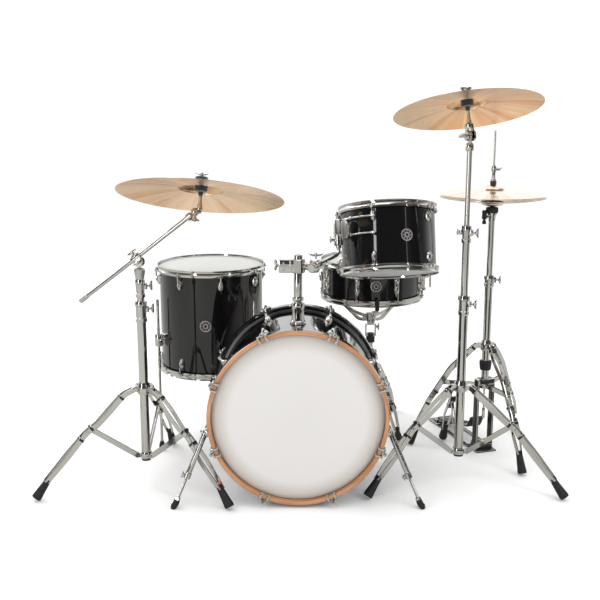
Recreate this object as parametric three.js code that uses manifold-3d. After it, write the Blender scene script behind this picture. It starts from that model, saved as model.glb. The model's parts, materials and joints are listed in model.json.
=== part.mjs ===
// A four-drum acoustic kit with its cymbals, stands and pedals, in millimetres with +Z up.
// The kit faces -Y. Each drum and stand is built about its own vertical axis and then set in its place.
import * as THREE from "three";
import { mergeVertices } from "three/addons/utils/BufferGeometryUtils.js";
import Module from "manifold-3d";

const wasm = await Module();
wasm.setup();

// Driving dimensions.
const inch = 25.4;
const gap = 0.4;
const bass = {
  radius: 10 * inch, hoopToHoop: 385, centreHeight: 279,
  hoopWidth: 38, hoopWall: 12, headSet: 18, spurSet: 60,
};
const rackTom = { radius: 6 * inch, depth: 8 * inch, lugs: 5, firstLug: -112, sides: 28 };
const floorTom = { radius: 7 * inch, depth: 14 * inch, lugs: 8, firstLug: -75, sides: 28 };
const snare = { radius: 7 * inch, depth: 5 * inch, lugs: 8, firstLug: -110, sides: 28 };
const wall = 7;
const tubeSides = 14;
const hoopRise = 10;
const legRod = 4.75;

// Where each drum and stand stands on the floor, from the foot of the bass drum's front hoop.
const place = {
  boomStand: [-485, 192],
  crashStand: [519, 235],
  hihat: [648, 490],
  floorTom: [-304, 580],
  snare: [267, 730],
};

// Finishes.
const finishes = {
  lacquer: { color: 0x0b0b0d, roughness: 0.12, metalness: 0 },
  maple: { color: 0xc58a55, roughness: 0.35, metalness: 0 },
  film: { color: 0xe9e8e4, roughness: 0.6, metalness: 0 },
  chrome: { color: 0xc9ccd0, roughness: 0.1, metalness: 1 },
  satin: { color: 0x9a9ea3, roughness: 0.35, metalness: 1 },
  black: { color: 0x17171a, roughness: 0.45, metalness: 0.4 },
  bronze: { color: 0xb08352, roughness: 0.3, metalness: 1 },
};

// ---- solids ----

function solid(geometry) {
  const bare = geometry.clone();
  bare.deleteAttribute("normal");
  bare.deleteAttribute("uv");
  const merged = mergeVertices(bare, 1e-4);
  const points = merged.attributes.position.array;
  const faces = Uint32Array.from(merged.index.array);
  if (signedVolume(points, faces) < 0) {
    for (let i = 0; i < faces.length; i += 3) [faces[i], faces[i + 1]] = [faces[i + 1], faces[i]];
  }
  const triangles = dropSlivers(faces);
  return new wasm.Manifold(new wasm.Mesh({ numProp: 3, vertProperties: points, triVerts: triangles }));
}

function signedVolume(points, faces) {
  const corner = (i) => new THREE.Vector3().fromArray(points, 3 * faces[i]);
  let sum = 0;
  for (let i = 0; i < faces.length; i += 3) sum += corner(i).dot(corner(i + 1).cross(corner(i + 2)));
  return sum;
}

function dropSlivers(faces) {
  const kept = [];
  for (let i = 0; i < faces.length; i += 3) {
    const [a, b, c] = faces.subarray(i, i + 3);
    if (a !== b && b !== c && c !== a) kept.push(a, b, c);
  }
  return Uint32Array.from(kept);
}

const join = (...solids) => solids.flat().reduce((whole, next) => whole.add(next));

function block(sx, sy, sz, x = 0, y = 0, z = 0) {
  return solid(new THREE.BoxGeometry(sx, sy, sz)).translate([x, y, z]);
}

const vector = (point) => new THREE.Vector3(...point);

// A round bar from one point to another, tapering where the second radius differs.
function bar(from, to, radius, sides = 8, endRadius = radius) {
  const along = vector(to).sub(vector(from));
  const geometry = new THREE.CylinderGeometry(endRadius, radius, along.length(), sides);
  const upright = new THREE.Vector3(0, 1, 0);
  const turn = new THREE.Quaternion().setFromUnitVectors(upright, along.clone().normalize());
  geometry.applyQuaternion(turn);
  geometry.translate(...vector(from).addScaledVector(along, 0.5).toArray());
  return solid(geometry);
}

// A solid of revolution about Z. The profile is a list of [radius, height] and closes on itself or on the axis.
function turned(profile, sides = 16) {
  const points = profile.map(([radius, height]) => new THREE.Vector2(radius, height));
  const geometry = new THREE.LatheGeometry(points, sides);
  geometry.rotateX(Math.PI / 2);
  return solid(geometry);
}

const ring = (inner, outer, low, high, sides) =>
  turned([[inner, low], [outer, low], [outer, high], [inner, high], [inner, low]], sides);

const disc = (radius, low, high, sides) =>
  turned([[0, low], [radius, low], [radius, high], [0, high]], sides);

// A flat plate in the XZ plane, centred on y.
function plate(outline, thickness, y = 0) {
  const shape = new THREE.Shape(outline.map(([x, z]) => new THREE.Vector2(x, z)));
  const geometry = new THREE.ExtrudeGeometry(shape, { depth: thickness, bevelEnabled: false });
  geometry.rotateX(Math.PI / 2);
  geometry.translate(0, y + thickness / 2, 0);
  return solid(geometry);
}

// The outline of a flat strip of one height that follows a bent line.
function ribbon(line, height) {
  const upper = [];
  const lower = [];
  line.forEach((point, i) => {
    const before = line[Math.max(i - 1, 0)];
    const after = line[Math.min(i + 1, line.length - 1)];
    const along = new THREE.Vector2(after[0] - before[0], after[1] - before[1]).normalize();
    const side = [-along.y * height / 2, along.x * height / 2];
    upper.push([point[0] + side[0], point[1] + side[1]]);
    lower.unshift([point[0] - side[0], point[1] - side[1]]);
  });
  return [...upper, ...lower];
}

const radial = (shape, azimuth) => shape.rotate([0, 0, azimuth]);

const around = (count, first, make) =>
  Array.from({ length: count }, (_, i) => radial(make(i), first + (360 / count) * i));

// ---- scene graph ----

function mesh(name, shape, finish) {
  const { vertProperties, triVerts } = shape.getMesh();
  const geometry = new THREE.BufferGeometry();
  geometry.setAttribute("position", new THREE.BufferAttribute(vertProperties, 3));
  geometry.setIndex(new THREE.BufferAttribute(triVerts, 1));
  geometry.computeVertexNormals();
  const made = new THREE.Mesh(geometry, new THREE.MeshStandardMaterial(finishes[finish]));
  made.name = name;
  return made;
}

function group(position, ...children) {
  const made = new THREE.Group();
  made.position.set(...position);
  if (children.length) made.add(...children);
  return made;
}

// A group whose own frame marks a joint: its position is the pivot.
function pivot(name, position, ...children) {
  const made = group(position, ...children);
  made.name = name;
  return made;
}

// ---- drums ----

// A straight-sided drum standing on its own Z axis, with its bottom bearing edge at z = 0.
function drum(name, size, lugLength, lugFromEdge, extraShell = []) {
  const { radius, depth, lugs, firstLug, sides } = size;
  const rodRadius = radius + 12.5;
  const topLug = depth - lugFromEdge - lugLength / 2;
  const bottomLug = lugFromEdge + lugLength / 2;
  const lug = (height) => block(24, 19, lugLength, radius + 7.5, 0, height);
  const heights = bottomLug + lugLength / 2 + 2 > topLug ? [depth / 2] : [topLug, bottomLug];
  const shell = join(
    ring(radius - wall, radius, 0, depth, sides),
    heights.map((height) => around(lugs, firstLug, () => lug(height))).flat(),
    extraShell,
  );
  const headShape = turned([
    [0, 0.5], [radius + gap, 0.5], [radius + gap, -9], [radius + 3.6, -9], [radius + 3.6, 1.8], [0, 1.8],
  ], sides);
  const rodEnd = Math.max(...heights) + lugLength / 2 + gap - depth;
  const band = ring(radius + 4, radius + 9, -12, hoopRise, sides);
  const ear = block(10, 7, hoopRise - 6 - rodEnd, rodRadius - 1, 0, (hoopRise - 6 + rodEnd) / 2);
  const flipped = (shape) => shape.rotate([180, 0, 0]);
  const topHoop = join(band, around(lugs, firstLug, () => ear));
  const bottomHoop = join(flipped(band), around(lugs, firstLug, () => flipped(ear)));
  return {
    shell: mesh(`${name}_shell`, shell, "lacquer"),
    topHead: mesh(`${name}_top_head`, headShape.translate([0, 0, depth]), "film"),
    bottomHead: mesh(`${name}_bottom_head`, flipped(headShape), "film"),
    topHoop: mesh(`${name}_top_hoop`, topHoop.translate([0, 0, depth]), "chrome"),
    bottomHoop: mesh(`${name}_bottom_hoop`, bottomHoop, "chrome"),
  };
}

// The bass drum lies on its side; it is turned about Z here and then laid along +Y.
function bassDrum() {
  const { radius, hoopToHoop, hoopWidth, hoopWall, headSet } = bass;
  const sides = 36;
  const shellStart = headSet + 2;
  const shellEnd = hoopToHoop - shellStart;
  const hoopInner = radius + 5;
  const hoopOuter = hoopInner + hoopWall;
  const rodRadius = hoopOuter + 8;
  const hardware = around(8, 22.5, () => join(
    block(7.5, 16, 100, rodRadius - 3.5, 0, 45),
    block(32, 22, 40, radius + 14, 0, 97),
  ));
  const bothEnds = (shape) => [shape, shape.rotate([180, 0, 0]).translate([0, 0, hoopToHoop])];
  const socket = join(
    block(56, 46, 5, 0, 0, 1.5),
    ring(13.5, 21, 3, 66, 16),
    block(16, 26, 22, -26, 0, 44),
  ).rotate([0, 90, 0]).translate([radius - 1, 0, post.y]);
  const spurBoss = (side) => bar([radius - 3, 0, 0], [radius + 14, 0, 0], 20, 14)
    .rotate([0, 0, 90 + side * 102]).translate([0, 0, bass.spurSet]);
  const shell = join(
    ring(radius - wall, radius, shellStart, shellEnd, sides),
    hardware.flatMap(bothEnds),
    spurBoss(-1),
    spurBoss(1),
    socket,
  ).subtract(disc(post.radius + gap, 0, 120, 16).rotate([0, 90, 0]).translate([radius - 30, 0, post.y]));
  const head = turned([
    [0, headSet], [radius + 4.6, headSet], [radius + 4.6, headSet + 14], [radius + gap, headSet + 14],
    [radius + gap, headSet + 1.4], [0, headSet + 1.4],
  ], sides);
  const hoop = ring(hoopInner, hoopOuter, 0, hoopWidth, sides);
  const away = (shape) => shape.rotate([180, 0, 0]).translate([0, 0, hoopToHoop]);
  const lying = group([0, 0, bass.centreHeight],
    mesh("bass_drum_shell", shell, "lacquer"),
    mesh("bass_drum_front_hoop", hoop, "maple"),
    mesh("bass_drum_batter_hoop", away(hoop), "maple"),
    mesh("bass_drum_front_head", head, "film"),
    mesh("bass_drum_batter_head", away(head), "film"),
  );
  // The drum's own Z runs back along +Y and its own X points up.
  const axes = [[0, 0, 1], [1, 0, 0], [0, 1, 0]].map(vector);
  lying.setRotationFromMatrix(new THREE.Matrix4().makeBasis(...axes));
  return lying;
}

// A spur hangs from a boss on the shell, splayed out and forward to its rubber foot.
function spur(side) {
  const lean = 12 * Math.PI / 180;
  const out = (distance) => [side * Math.cos(lean) * distance, 0, -Math.sin(lean) * distance];
  const reach = out(bass.radius + 14 + gap);
  const top = [reach[0], bass.spurSet, bass.centreHeight + reach[2]];
  const foot = [side * 376 - top[0], -4 - top[1], -top[2]];
  const bow = [side * 14, 0, 4];
  const at = (share) => foot.map((value, i) => value * share + bow[i] * (1 - share));
  const shape = join(
    bar([0, 0, 0], out(20), 17, 10),
    bar(at(-0.08), at(0.58), 9.5, 10),
    bar(at(0.5), at(0.88), 5.5, 6),
    bar(at(0.84), at(0.97), 9, 8, 11),
    disc(8, -top[2], -top[2] + 14, 8).translate([foot[0], foot[1], 0]),
  );
  const hand = side < 0 ? "left" : "right";
  return pivot(`spur_pivot_${hand}`, top, mesh(`bass_spur_${hand}`, shape, "chrome"));
}

// ---- tom mount and rack tom ----

// The post rises from the bass drum; the holder clamps on it and the arm carries the tom.
const post = { x: 0, y: 170, low: 520, top: 745, radius: 13 };
const holderHeight = 712;
const tomTop = [291, 420, 853];
const tomLean = [-15.4, -1.5];
const tomRod = { azimuth: -148, distance: 196 };

function tomFrame() {
  const frame = new THREE.Group();
  frame.rotation.set(tomLean[0] * Math.PI / 180, tomLean[1] * Math.PI / 180, 0, "YXZ");
  frame.position.set(...tomTop);
  frame.translateZ(-rackTom.depth);
  frame.updateMatrix();
  return frame.matrix;
}

function rackTomOnMount() {
  const toKit = tomFrame();
  const inTom = (azimuth, distance, height) => new THREE.Vector3(
    distance * Math.cos(azimuth * Math.PI / 180), distance * Math.sin(azimuth * Math.PI / 180), height,
  ).applyMatrix4(toKit).toArray();
  const rodTop = inTom(tomRod.azimuth, tomRod.distance, 172);
  const elbow = inTom(tomRod.azimuth, tomRod.distance, 52);
  const lead = [post.x + 58, post.y + 4, holderHeight];
  const seat = [post.x, post.y, holderHeight];
  const postShape = join(
    disc(post.radius, post.low, post.top, 16),
    ring(post.radius - 1, post.radius + 4, 604, 616, 16),
  ).translate([post.x, post.y, 0]);
  const from = (point, origin) => point.map((value, i) => value - origin[i]);
  const armLine = from(lead, seat);
  const end = from(elbow, seat);
  const armStart = armLine.map((value, i) => value + (end[i] - value) * -0.3);
  const holderShape = join(
    ring(post.radius + gap, 22, -22, 22, 16),
    block(40, 34, 40, -40, 0, 0),
    bar([-40, -26, 0], [-40, 20, 0], 6, 8),
    block(30, 6, 16, -44, -26, 0),
    bar([16, 2, -20], [16, 2, 20], 8, 8),
    bar(
      armLine.map((v, i) => v * 0.3 + (i === 2 ? -2 : 0)),
      armLine.map((v, i) => v + (end[i] - v) * 0.12), 15, 12,
    ),
    bar([54, 2, 12], [54, 2, 42], 5, 8),
    block(34, 8, 8, 54, 2, 44),
  ).subtract(bar(armStart, end, 7, 12)).subtract(disc(post.radius + gap, -60, 60, 16));
  const armShape = join(
    bar(armLine.map((v, i) => v + (end[i] - v) * -0.1), end, 6.3, 12),
    solid(new THREE.SphereGeometry(6.6, 8, 6)).translate(end),
    bar(end, from(rodTop, seat), 6.3, 12),
  );
  const tomRodAxis = inTom(tomRod.azimuth, tomRod.distance, 120);
  const local = (height) => [tomRod.distance, 0, height];
  const bracket = radial(join(
    ring(6.3 + gap, 15, 78, 160, 12).translate(local(0)),
    block(12, 62, 62, tomRod.distance - 16, 0, 118),
    bar([tomRod.distance - 16, -96, 148], [tomRod.distance - 16, 96, 148], 3, 6),
    bar([tomRod.distance - 16, -96, 92], [tomRod.distance - 16, 96, 92], 3, 6),
    bar([tomRod.distance + 8, 0, 96], [tomRod.distance + 30, 0, 96], 5, 8),
    block(8, 30, 10, tomRod.distance + 32, 0, 96),
  ).subtract(disc(6.3 + gap, 0, 200, 12).translate(local(0))), tomRod.azimuth);
  const tom = drum("rack_tom", rackTom, 34, 14);
  const body = new THREE.Group();
  body.applyMatrix4(toKit);
  body.add(...Object.values(tom), mesh("tom_bracket", bracket, "chrome"));
  body.position.sub(vector(tomRodAxis));
  return [
    pivot("post_slide", [0, 0, 0], mesh("tom_post", postShape, "chrome")),
    pivot("holder_swivel", seat,
      mesh("tom_holder", holderShape, "chrome"),
      mesh("tom_arm", armShape, "chrome")),
    pivot("tom_swivel", tomRodAxis, body),
    // Marks along the arm: it turns about its first stretch, and the tom turns about its second.
    pivot("arm_lead", lead),
    pivot("arm_elbow", elbow),
    pivot("arm_top", rodTop),
  ];
}

// ---- floor tom and snare drum ----

function floorTomWithLegs() {
  const base = 288;
  const bracketHeight = 400;
  const azimuths = { left: -150, right: -40, rear: 90 };
  const distance = floorTom.radius + 24;
  const bracket = (azimuth) => radial(join(
    ring(legRod + gap, 13, -21, 21, 10).translate([distance, 0, 0]),
    block(18, 34, 40, floorTom.radius + 5, 0, 0),
    bar([distance, 9, 0], [distance, 26, 0], 4, 6),
    block(18, 4, 10, distance, 28, 0),
  ).subtract(disc(legRod + gap, -30, 30, 10).translate([distance, 0, 0])), azimuth)
    .translate([0, 0, bracketHeight - base]);
  const tom = drum("floor_tom", floorTom, 34, 16, Object.values(azimuths).map(bracket));
  const legShape = (azimuth) => radial(join(
    disc(legRod, 14, 542, 10),
    disc(11, 0, 34, 12),
  ).translate([distance, 0, 0]), azimuth);
  return group([...place.floorTom, 0],
    group([0, 0, base], tom.shell, tom.topHead, tom.bottomHead, tom.topHoop, tom.bottomHoop),
    ...Object.entries(azimuths).map(([hand, azimuth]) =>
      mesh(`floor_tom_leg_${hand}`, legShape(azimuth), "chrome")),
  );
}

const snareBase = 508;
const snareTilt = 400;

function snareOnStand() {
  const strainer = radial(join(
    block(14, 30, 62, snare.radius + 6.5, 0, 0),
    block(14, 22, 14, snare.radius + 19, 0, 14),
  ), -10).translate([0, 0, snare.depth / 2]);
  const butt = radial(block(14, 30, 34, snare.radius + 6.5, 0, 0), 170).translate([0, 0, snare.depth / 2]);
  const drumParts = drum("snare", snare, 74, 14, [strainer, butt]);
  const leverShape = radial(join(
    bar([0, -10, 0], [0, 10, 0], 6, 10),
    block(5, 14, 46, 4, 0, -20),
  ), -10);
  const leverAt = new THREE.Vector3(snare.radius + 33, 0, snare.depth / 2 + 14)
    .applyAxisAngle(new THREE.Vector3(0, 0, 1), -10 * Math.PI / 180).toArray();
  const tipRadius = snare.radius + 16.5;
  const lift = snareBase - snareTilt;
  const arm = () => join(
    plate(ribbon([[12, 18], [60, 26], [tipRadius - 26, lift - 24], [tipRadius + 2, lift - 20]], 9), 10),
    bar([tipRadius, 0, lift - 24], [tipRadius, 0, lift + 22], 6, 8),
    block(12, 12, 8, tipRadius - 8, 0, lift - 14.6),
  );
  const basket = join(
    around(3, -88, arm),
    disc(20, 10, 40, 12),
    bar([-13, 0, 0], [13, 0, 0], 8, 8),
    block(22, 14, 12, 0, 0, 6),
    bar([-12, -8, 20], [-44, -8, 20], 5, 8),
  );
  const tubeShape = join(
    disc(9.5, 150, 352, 12),
    disc(16, 330, 362, 12),
    block(6, 22, 46, -17.5, 0, 376),
    block(6, 22, 46, 17.5, 0, 376),
    block(41, 22, 12, 0, 0, 356),
    bar([17.5, 0, snareTilt - 14], [34, 0, snareTilt - 14], 5, 8),
  ).subtract(block(29.2, 40, 60, 0, 0, 392.5));
  const tripodSize = {
    azimuth: -62, collar: 236, hub: 108,
    line: [[30, 236], [62, 222], [132, 142], [188, 40]], foot: 216, brace: [134, 138],
  };
  const tripod = join(
    ring(9.5 + gap, 12.7, 96, 296, 12),
    ring(12, 20, 262, 296, 12),
    bar([-18, 0, 279], [-42, 0, 279], 4.5, 8),
    rigidTripod(tripodSize, 12.2),
  ).subtract(disc(9.5 + gap, 60, 320, 12));
  return group([...place.snare, 0],
    mesh("snare_stand_tripod", tripod, "chrome"),
    pivot("snare_tube_slide", [0, 0, 0], mesh("snare_stand_tube", tubeShape, "chrome")),
    pivot("snare_tilt", [0, 0, snareTilt],
      mesh("snare_basket", basket, "chrome"),
      group([0, 0, lift],
        drumParts.shell, drumParts.topHead, drumParts.topHoop, drumParts.bottomHoop,
        pivot("strainer_lever", leverAt, mesh("snare_strainer_lever", leverShape, "chrome")),
      ),
    ),
  );
}

// ---- stands ----

const legPlate = 3;
const legSpread = 13;

function legShape(line, foot, floor) {
  const outline = ribbon(line, 11);
  return join(
    plate(outline, legPlate, legSpread / 2),
    plate(outline, legPlate, -legSpread / 2),
    rubberFoot(line[line.length - 1], foot, floor),
  );
}

// A foot that carries on along the leg to the floor, at a distance from the tube.
function rubberFoot(end, distance, floor = 0) {
  const radius = 10.5;
  const slope = Math.atan2(end[1] - floor, distance - end[0]);
  const tip = [distance - radius * Math.sin(slope), 0, floor + radius * Math.cos(slope)];
  return bar([end[0] - 10, 0, end[1] + 9], tip, 8.5, 8, radius);
}

function rigidTripod(size, tubeRadius) {
  const { azimuth, collar, hub, line, foot, brace } = size;
  return join(
    ring(tubeRadius, tubeRadius + 6, collar - 16, collar + 16, tubeSides),
    ring(tubeRadius, tubeRadius + 6, hub - 9, hub + 9, tubeSides),
    around(3, azimuth, () => join(
      plate(ribbon([[tubeRadius + 2, collar], ...line], 11), legSpread + legPlate),
      rubberFoot(line[line.length - 1], foot),
      plate(ribbon([[tubeRadius + 2, hub], brace], 10), 8.5),
    )),
  );
}

// A tube with a height clamp round its top end; the next tube slides inside it.
function clampedTube(outer, inner, low, high, clampRise) {
  const clampLow = high - clampRise;
  return join(
    ring(inner + gap, outer, low, high, tubeSides),
    ring(outer - 1, outer + 4.5, clampLow, high, tubeSides),
    block(16, 28, 12, outer + 9, 0, clampLow + clampRise * 0.6),
    block(24, 5, 13, outer + 13, -15, clampLow + clampRise * 0.6),
  ).subtract(disc(inner + gap, low - 5, high + 5, tubeSides));
}

// ---- cymbals ----

function cymbal(name, size) {
  const { radius, bell, bow, height } = size;
  const thick = 1.6;
  const rim = Array.from({ length: 3 }, (_, i) => {
    const share = i / 2;
    const r = radius + (bell - radius) * share;
    return [r, bow * (1 - ((r - bell) / (radius - bell)) ** 1.7)];
  });
  const dome = Array.from({ length: 3 }, (_, i) => {
    const angle = (i + 1) / 3 * Math.PI / 2;
    const r = 7 + (bell - 7) * Math.cos(angle);
    return [r, bow + (height - bow) * Math.sin(angle)];
  });
  const under = [...rim, ...dome];
  const over = under.map(([r, z]) => [r, z + thick]).reverse();
  return mesh(name, turned([...under, ...over, under[0]], 22), "bronze");
}

function leaning(name, position, lean, ...children) {
  const made = pivot(name, position, ...children);
  made.rotation.set(lean[0] * Math.PI / 180, lean[1] * Math.PI / 180, 0, "YXZ");
  return made;
}

// The rod, cup, felts and wing nut that hold a cymbal; z = 0 is the cymbal's rim plane.
const cymbalSeat = (size, drop) => join(
  disc(4, -drop, size.height + 34, 8),
  disc(7, -drop, -drop + 18, 10),
  disc(19, size.height - 22, size.height - 2.4, 10),
  disc(18, size.height + 1.6 + gap, size.height + 14, 10),
  block(36, 7, 12, 0, 0, size.height + 22),
);

const crashSize = { radius: 9 * inch, bell: 62, bow: 20, height: 42 };
const rideSize = { radius: 10 * inch, bell: 68, bow: 22, height: 45 };
const hatSize = { radius: 7 * inch, bell: 52, bow: 14, height: 33 };

function crashStand() {
  const tripodSize = {
    azimuth: -31, collar: 312, hub: 94,
    line: [[36, 312], [66, 300], [150, 222], [184, 200], [315, 56]], foot: 362, brace: [166, 204],
  };
  const base = join(
    clampedTube(14.3, 11.1, 100, 606, 62),
    ring(9, 16, 78, 104, 16),
    rigidTripod(tripodSize, 14),
    bar([0, 20, 312], [0, 42, 312], 5, 8),
  ).subtract(disc(11.5, 110, 700, tubeSides));
  const middle = clampedTube(11.1, 8, 380, 826, 54);
  const lean = [-15.7, -4.5];
  const tiltAt = 1098;
  const upper = join(
    disc(8, 600, tiltAt - 26, tubeSides),
    disc(13, tiltAt - 44, tiltAt - 22, 14),
    block(8, 24, 44, 0, 0, tiltAt - 10),
    bar([-4, 0, tiltAt], [4, 0, tiltAt], 12, 12),
  );
  const rise = 76;
  const tilter = join(
    cymbalSeat(crashSize, rise - 30),
    block(6, 22, 34, -9.4, 0, -rise + 8),
    block(6, 22, 34, 9.4, 0, -rise + 8),
    bar([7, 0, -rise], [30, 0, -rise], 5, 8),
    block(8, 14, 28, 32, 0, -rise),
    disc(14, -rise + 22, -rise + 36, 12),
  ).subtract(bar([-4.4, 0, -rise], [4.4, 0, -rise], 13, 12));
  return group([...place.crashStand, 0],
    mesh("crash_stand_base", base, "chrome"),
    pivot("crash_middle_slide", [0, 0, 0], mesh("crash_middle_tube", middle, "chrome")),
    pivot("crash_upper_slide", [0, 0, 0], mesh("crash_upper_tube", upper, "chrome")),
    leaning("crash_tilt", [0, 0, tiltAt], lean,
      group([0, 0, rise], mesh("crash_tilter", tilter, "chrome"), cymbal("crash_cymbal", crashSize))),
  );
}

// The boom stand's legs fold: the collar slides up the tube while legs and braces swing in.
const boomFeet = 84;
const boomReach = [344, -60, 266];
const fold = { collar: 317, hub: 97, legPivot: 34, hubPivot: 25, join: [165, 202], foot: 360 };

function boomStand() {
  const baseShape = join(
    clampedTube(14.3, 11.1, 100, 598, 66),
    ring(9, 16, 78, 112, 16),
    around(3, boomFeet, () => block(15, 5, 14, 20, 0, fold.hub)),
  ).subtract(disc(11.5, 120, 700, tubeSides));
  const middle = clampedTube(11.1, 8, 330, 667, 58);
  const pivotHeight = 720;
  const armRise = 15;
  const along = vector(boomReach).normalize();
  const spin = Math.atan2(along.y, along.x);
  const rise = Math.asin(along.z);
  const turn = spin * 180 / Math.PI;
  const upper = join(
    disc(8, 480, 690, tubeSides),
    turned([[0, 672], [18, 672], [18, 682], [10, 702], [0, 702]], 16),
    join(
      block(10, 8, 20, 0, 0, 710),
      bar([0, -4, pivotHeight], [0, 4, pivotHeight], 7, 10),
    ).rotate([0, 0, turn]),
  );
  // Boom parts are made along +X with the clamp at the origin, then turned up to the boom's slope.
  const sloped = (name, position, ...children) => {
    const made = pivot(name, position, ...children);
    made.rotation.set(0, -rise, spin, "ZYX");
    return made;
  };
  const clamp = join(
    block(30, 6, 26, 0, -8, 6),
    block(30, 6, 26, 0, 8, 6),
    block(34, 22, 20, 0, 0, armRise + 3),
    bar([0, -11, 0], [0, -30, 0], 5, 8),
    block(12, 6, 28, 0, -32, 0),
    bar([0, 0, armRise + 12], [0, 0, armRise + 22], 5, 8),
    block(34, 8, 10, 0, 0, armRise + 25),
  ).subtract(block(60, 9, 18, 0, 0, -1)).subtract(bar([-40, 0, armRise], [40, 0, armRise], 6.4 + gap, 12));
  const tail = -232;
  const tip = 214;
  const arm = join(
    bar([tail, 0, 0], [tip, 0, 0], 6.4, 12),
    bar([tail - 4, 0, 0], [tail + 26, 0, 0], 9.5, 12),
    bar([tip - 6, 0, 0], [tip + 10, 0, 0], 11, 12),
  );
  const clampTop = new THREE.Vector3(0, 0, armRise).applyAxisAngle(new THREE.Vector3(0, 1, 0), -rise);
  const ball = along.clone().multiplyScalar(tip + 24).add(clampTop).add(new THREE.Vector3(0, 0, pivotHeight));
  const lean = [-17, 3.8];
  const seatRise = 46;
  const seatOut = 13;
  const tilter = join(
    cymbalSeat(rideSize, seatRise - 6),
    solid(new THREE.SphereGeometry(12.5, 8, 6)).translate([-seatOut, 0, -seatRise]),
    block(26, 14, 16, -seatOut + 8, 0, -seatRise + 4),
    bar([-seatOut, -8, -seatRise - 4], [4 - seatOut, -14, -seatRise - 34], 4.5, 8),
    block(28, 7, 12, 4 - seatOut, -15, -seatRise - 38),
  );
  const legLine = [[fold.legPivot, fold.collar], [64, 306], [152, 218], [184, 199], [315, 57]];
  const legLocal = legLine.map(([r, z]) => [r - fold.legPivot, z - fold.collar]);
  const swing = [fold.join[0] - fold.hubPivot, fold.join[1] - fold.hub];
  const brace = join(
    plate(ribbon([[0, 0], swing], 10), 1.4, 3.7),
    plate(ribbon([[0, 0], swing], 10), 1.4, -3.7),
    bar([swing[0] * 0.4, -4, swing[1] * 0.4], [swing[0] * 0.4, 4, swing[1] * 0.4], 4, 6),
  );
  const collar = join(
    ring(14.3 + gap, 21, fold.collar - 15, fold.collar + 15, tubeSides),
    around(3, boomFeet, () => join(
      block(20, 9, 16, 26, 0, fold.collar),
      bar([fold.legPivot, -4.5, fold.collar], [fold.legPivot, 4.5, fold.collar], 8, 10),
    )),
    radial(bar([18, 0, fold.collar], [44, 0, fold.collar], 5, 8), boomFeet + 60),
    radial(block(8, 30, 10, 46, 0, fold.collar), boomFeet + 60),
  ).subtract(disc(14.3 + gap, fold.collar - 30, fold.collar + 30, tubeSides));
  const hands = ["rear", "left", "right"];
  const limbs = hands.map((hand, i) => {
    const made = group([0, 0, 0],
      pivot(`boom_leg_pivot_${hand}`, [fold.legPivot, 0, fold.collar],
        mesh(`boom_leg_${hand}`, legShape(legLocal, fold.foot - fold.legPivot, -fold.collar), "chrome")),
      pivot(`boom_brace_pivot_${hand}`, [fold.hubPivot, 0, fold.hub],
        mesh(`boom_brace_${hand}`, brace, "chrome")),
    );
    made.rotation.z = (boomFeet + 120 * i) * Math.PI / 180;
    return made;
  });
  return group([...place.boomStand, 0],
    mesh("boom_base_tube", baseShape, "chrome"),
    pivot("boom_collar_slide", [0, 0, 0], mesh("boom_leg_collar", collar, "chrome")),
    ...limbs,
    pivot("boom_middle_slide", [0, 0, 0], mesh("boom_middle_tube", middle, "chrome")),
    pivot("boom_upper_slide", [0, 0, 0], mesh("boom_upper_tube", upper, "satin")),
    sloped("boom_tilt", [0, 0, pivotHeight],
      mesh("boom_clamp", clamp, "chrome"),
      pivot("boom_slide", [0, 0, armRise], mesh("boom_arm", arm, "chrome"))),
    leaning("boom_cymbal_tilt", ball.toArray(), lean,
      group([seatOut, 0, seatRise],
        mesh("boom_cymbal_tilter", tilter, "chrome"),
        cymbal("boom_cymbal", rideSize))),
  );
}

// ---- hi-hat ----

const hatTurn = 18;
const hatPlane = { top: 897, bottom: 889 };

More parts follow.
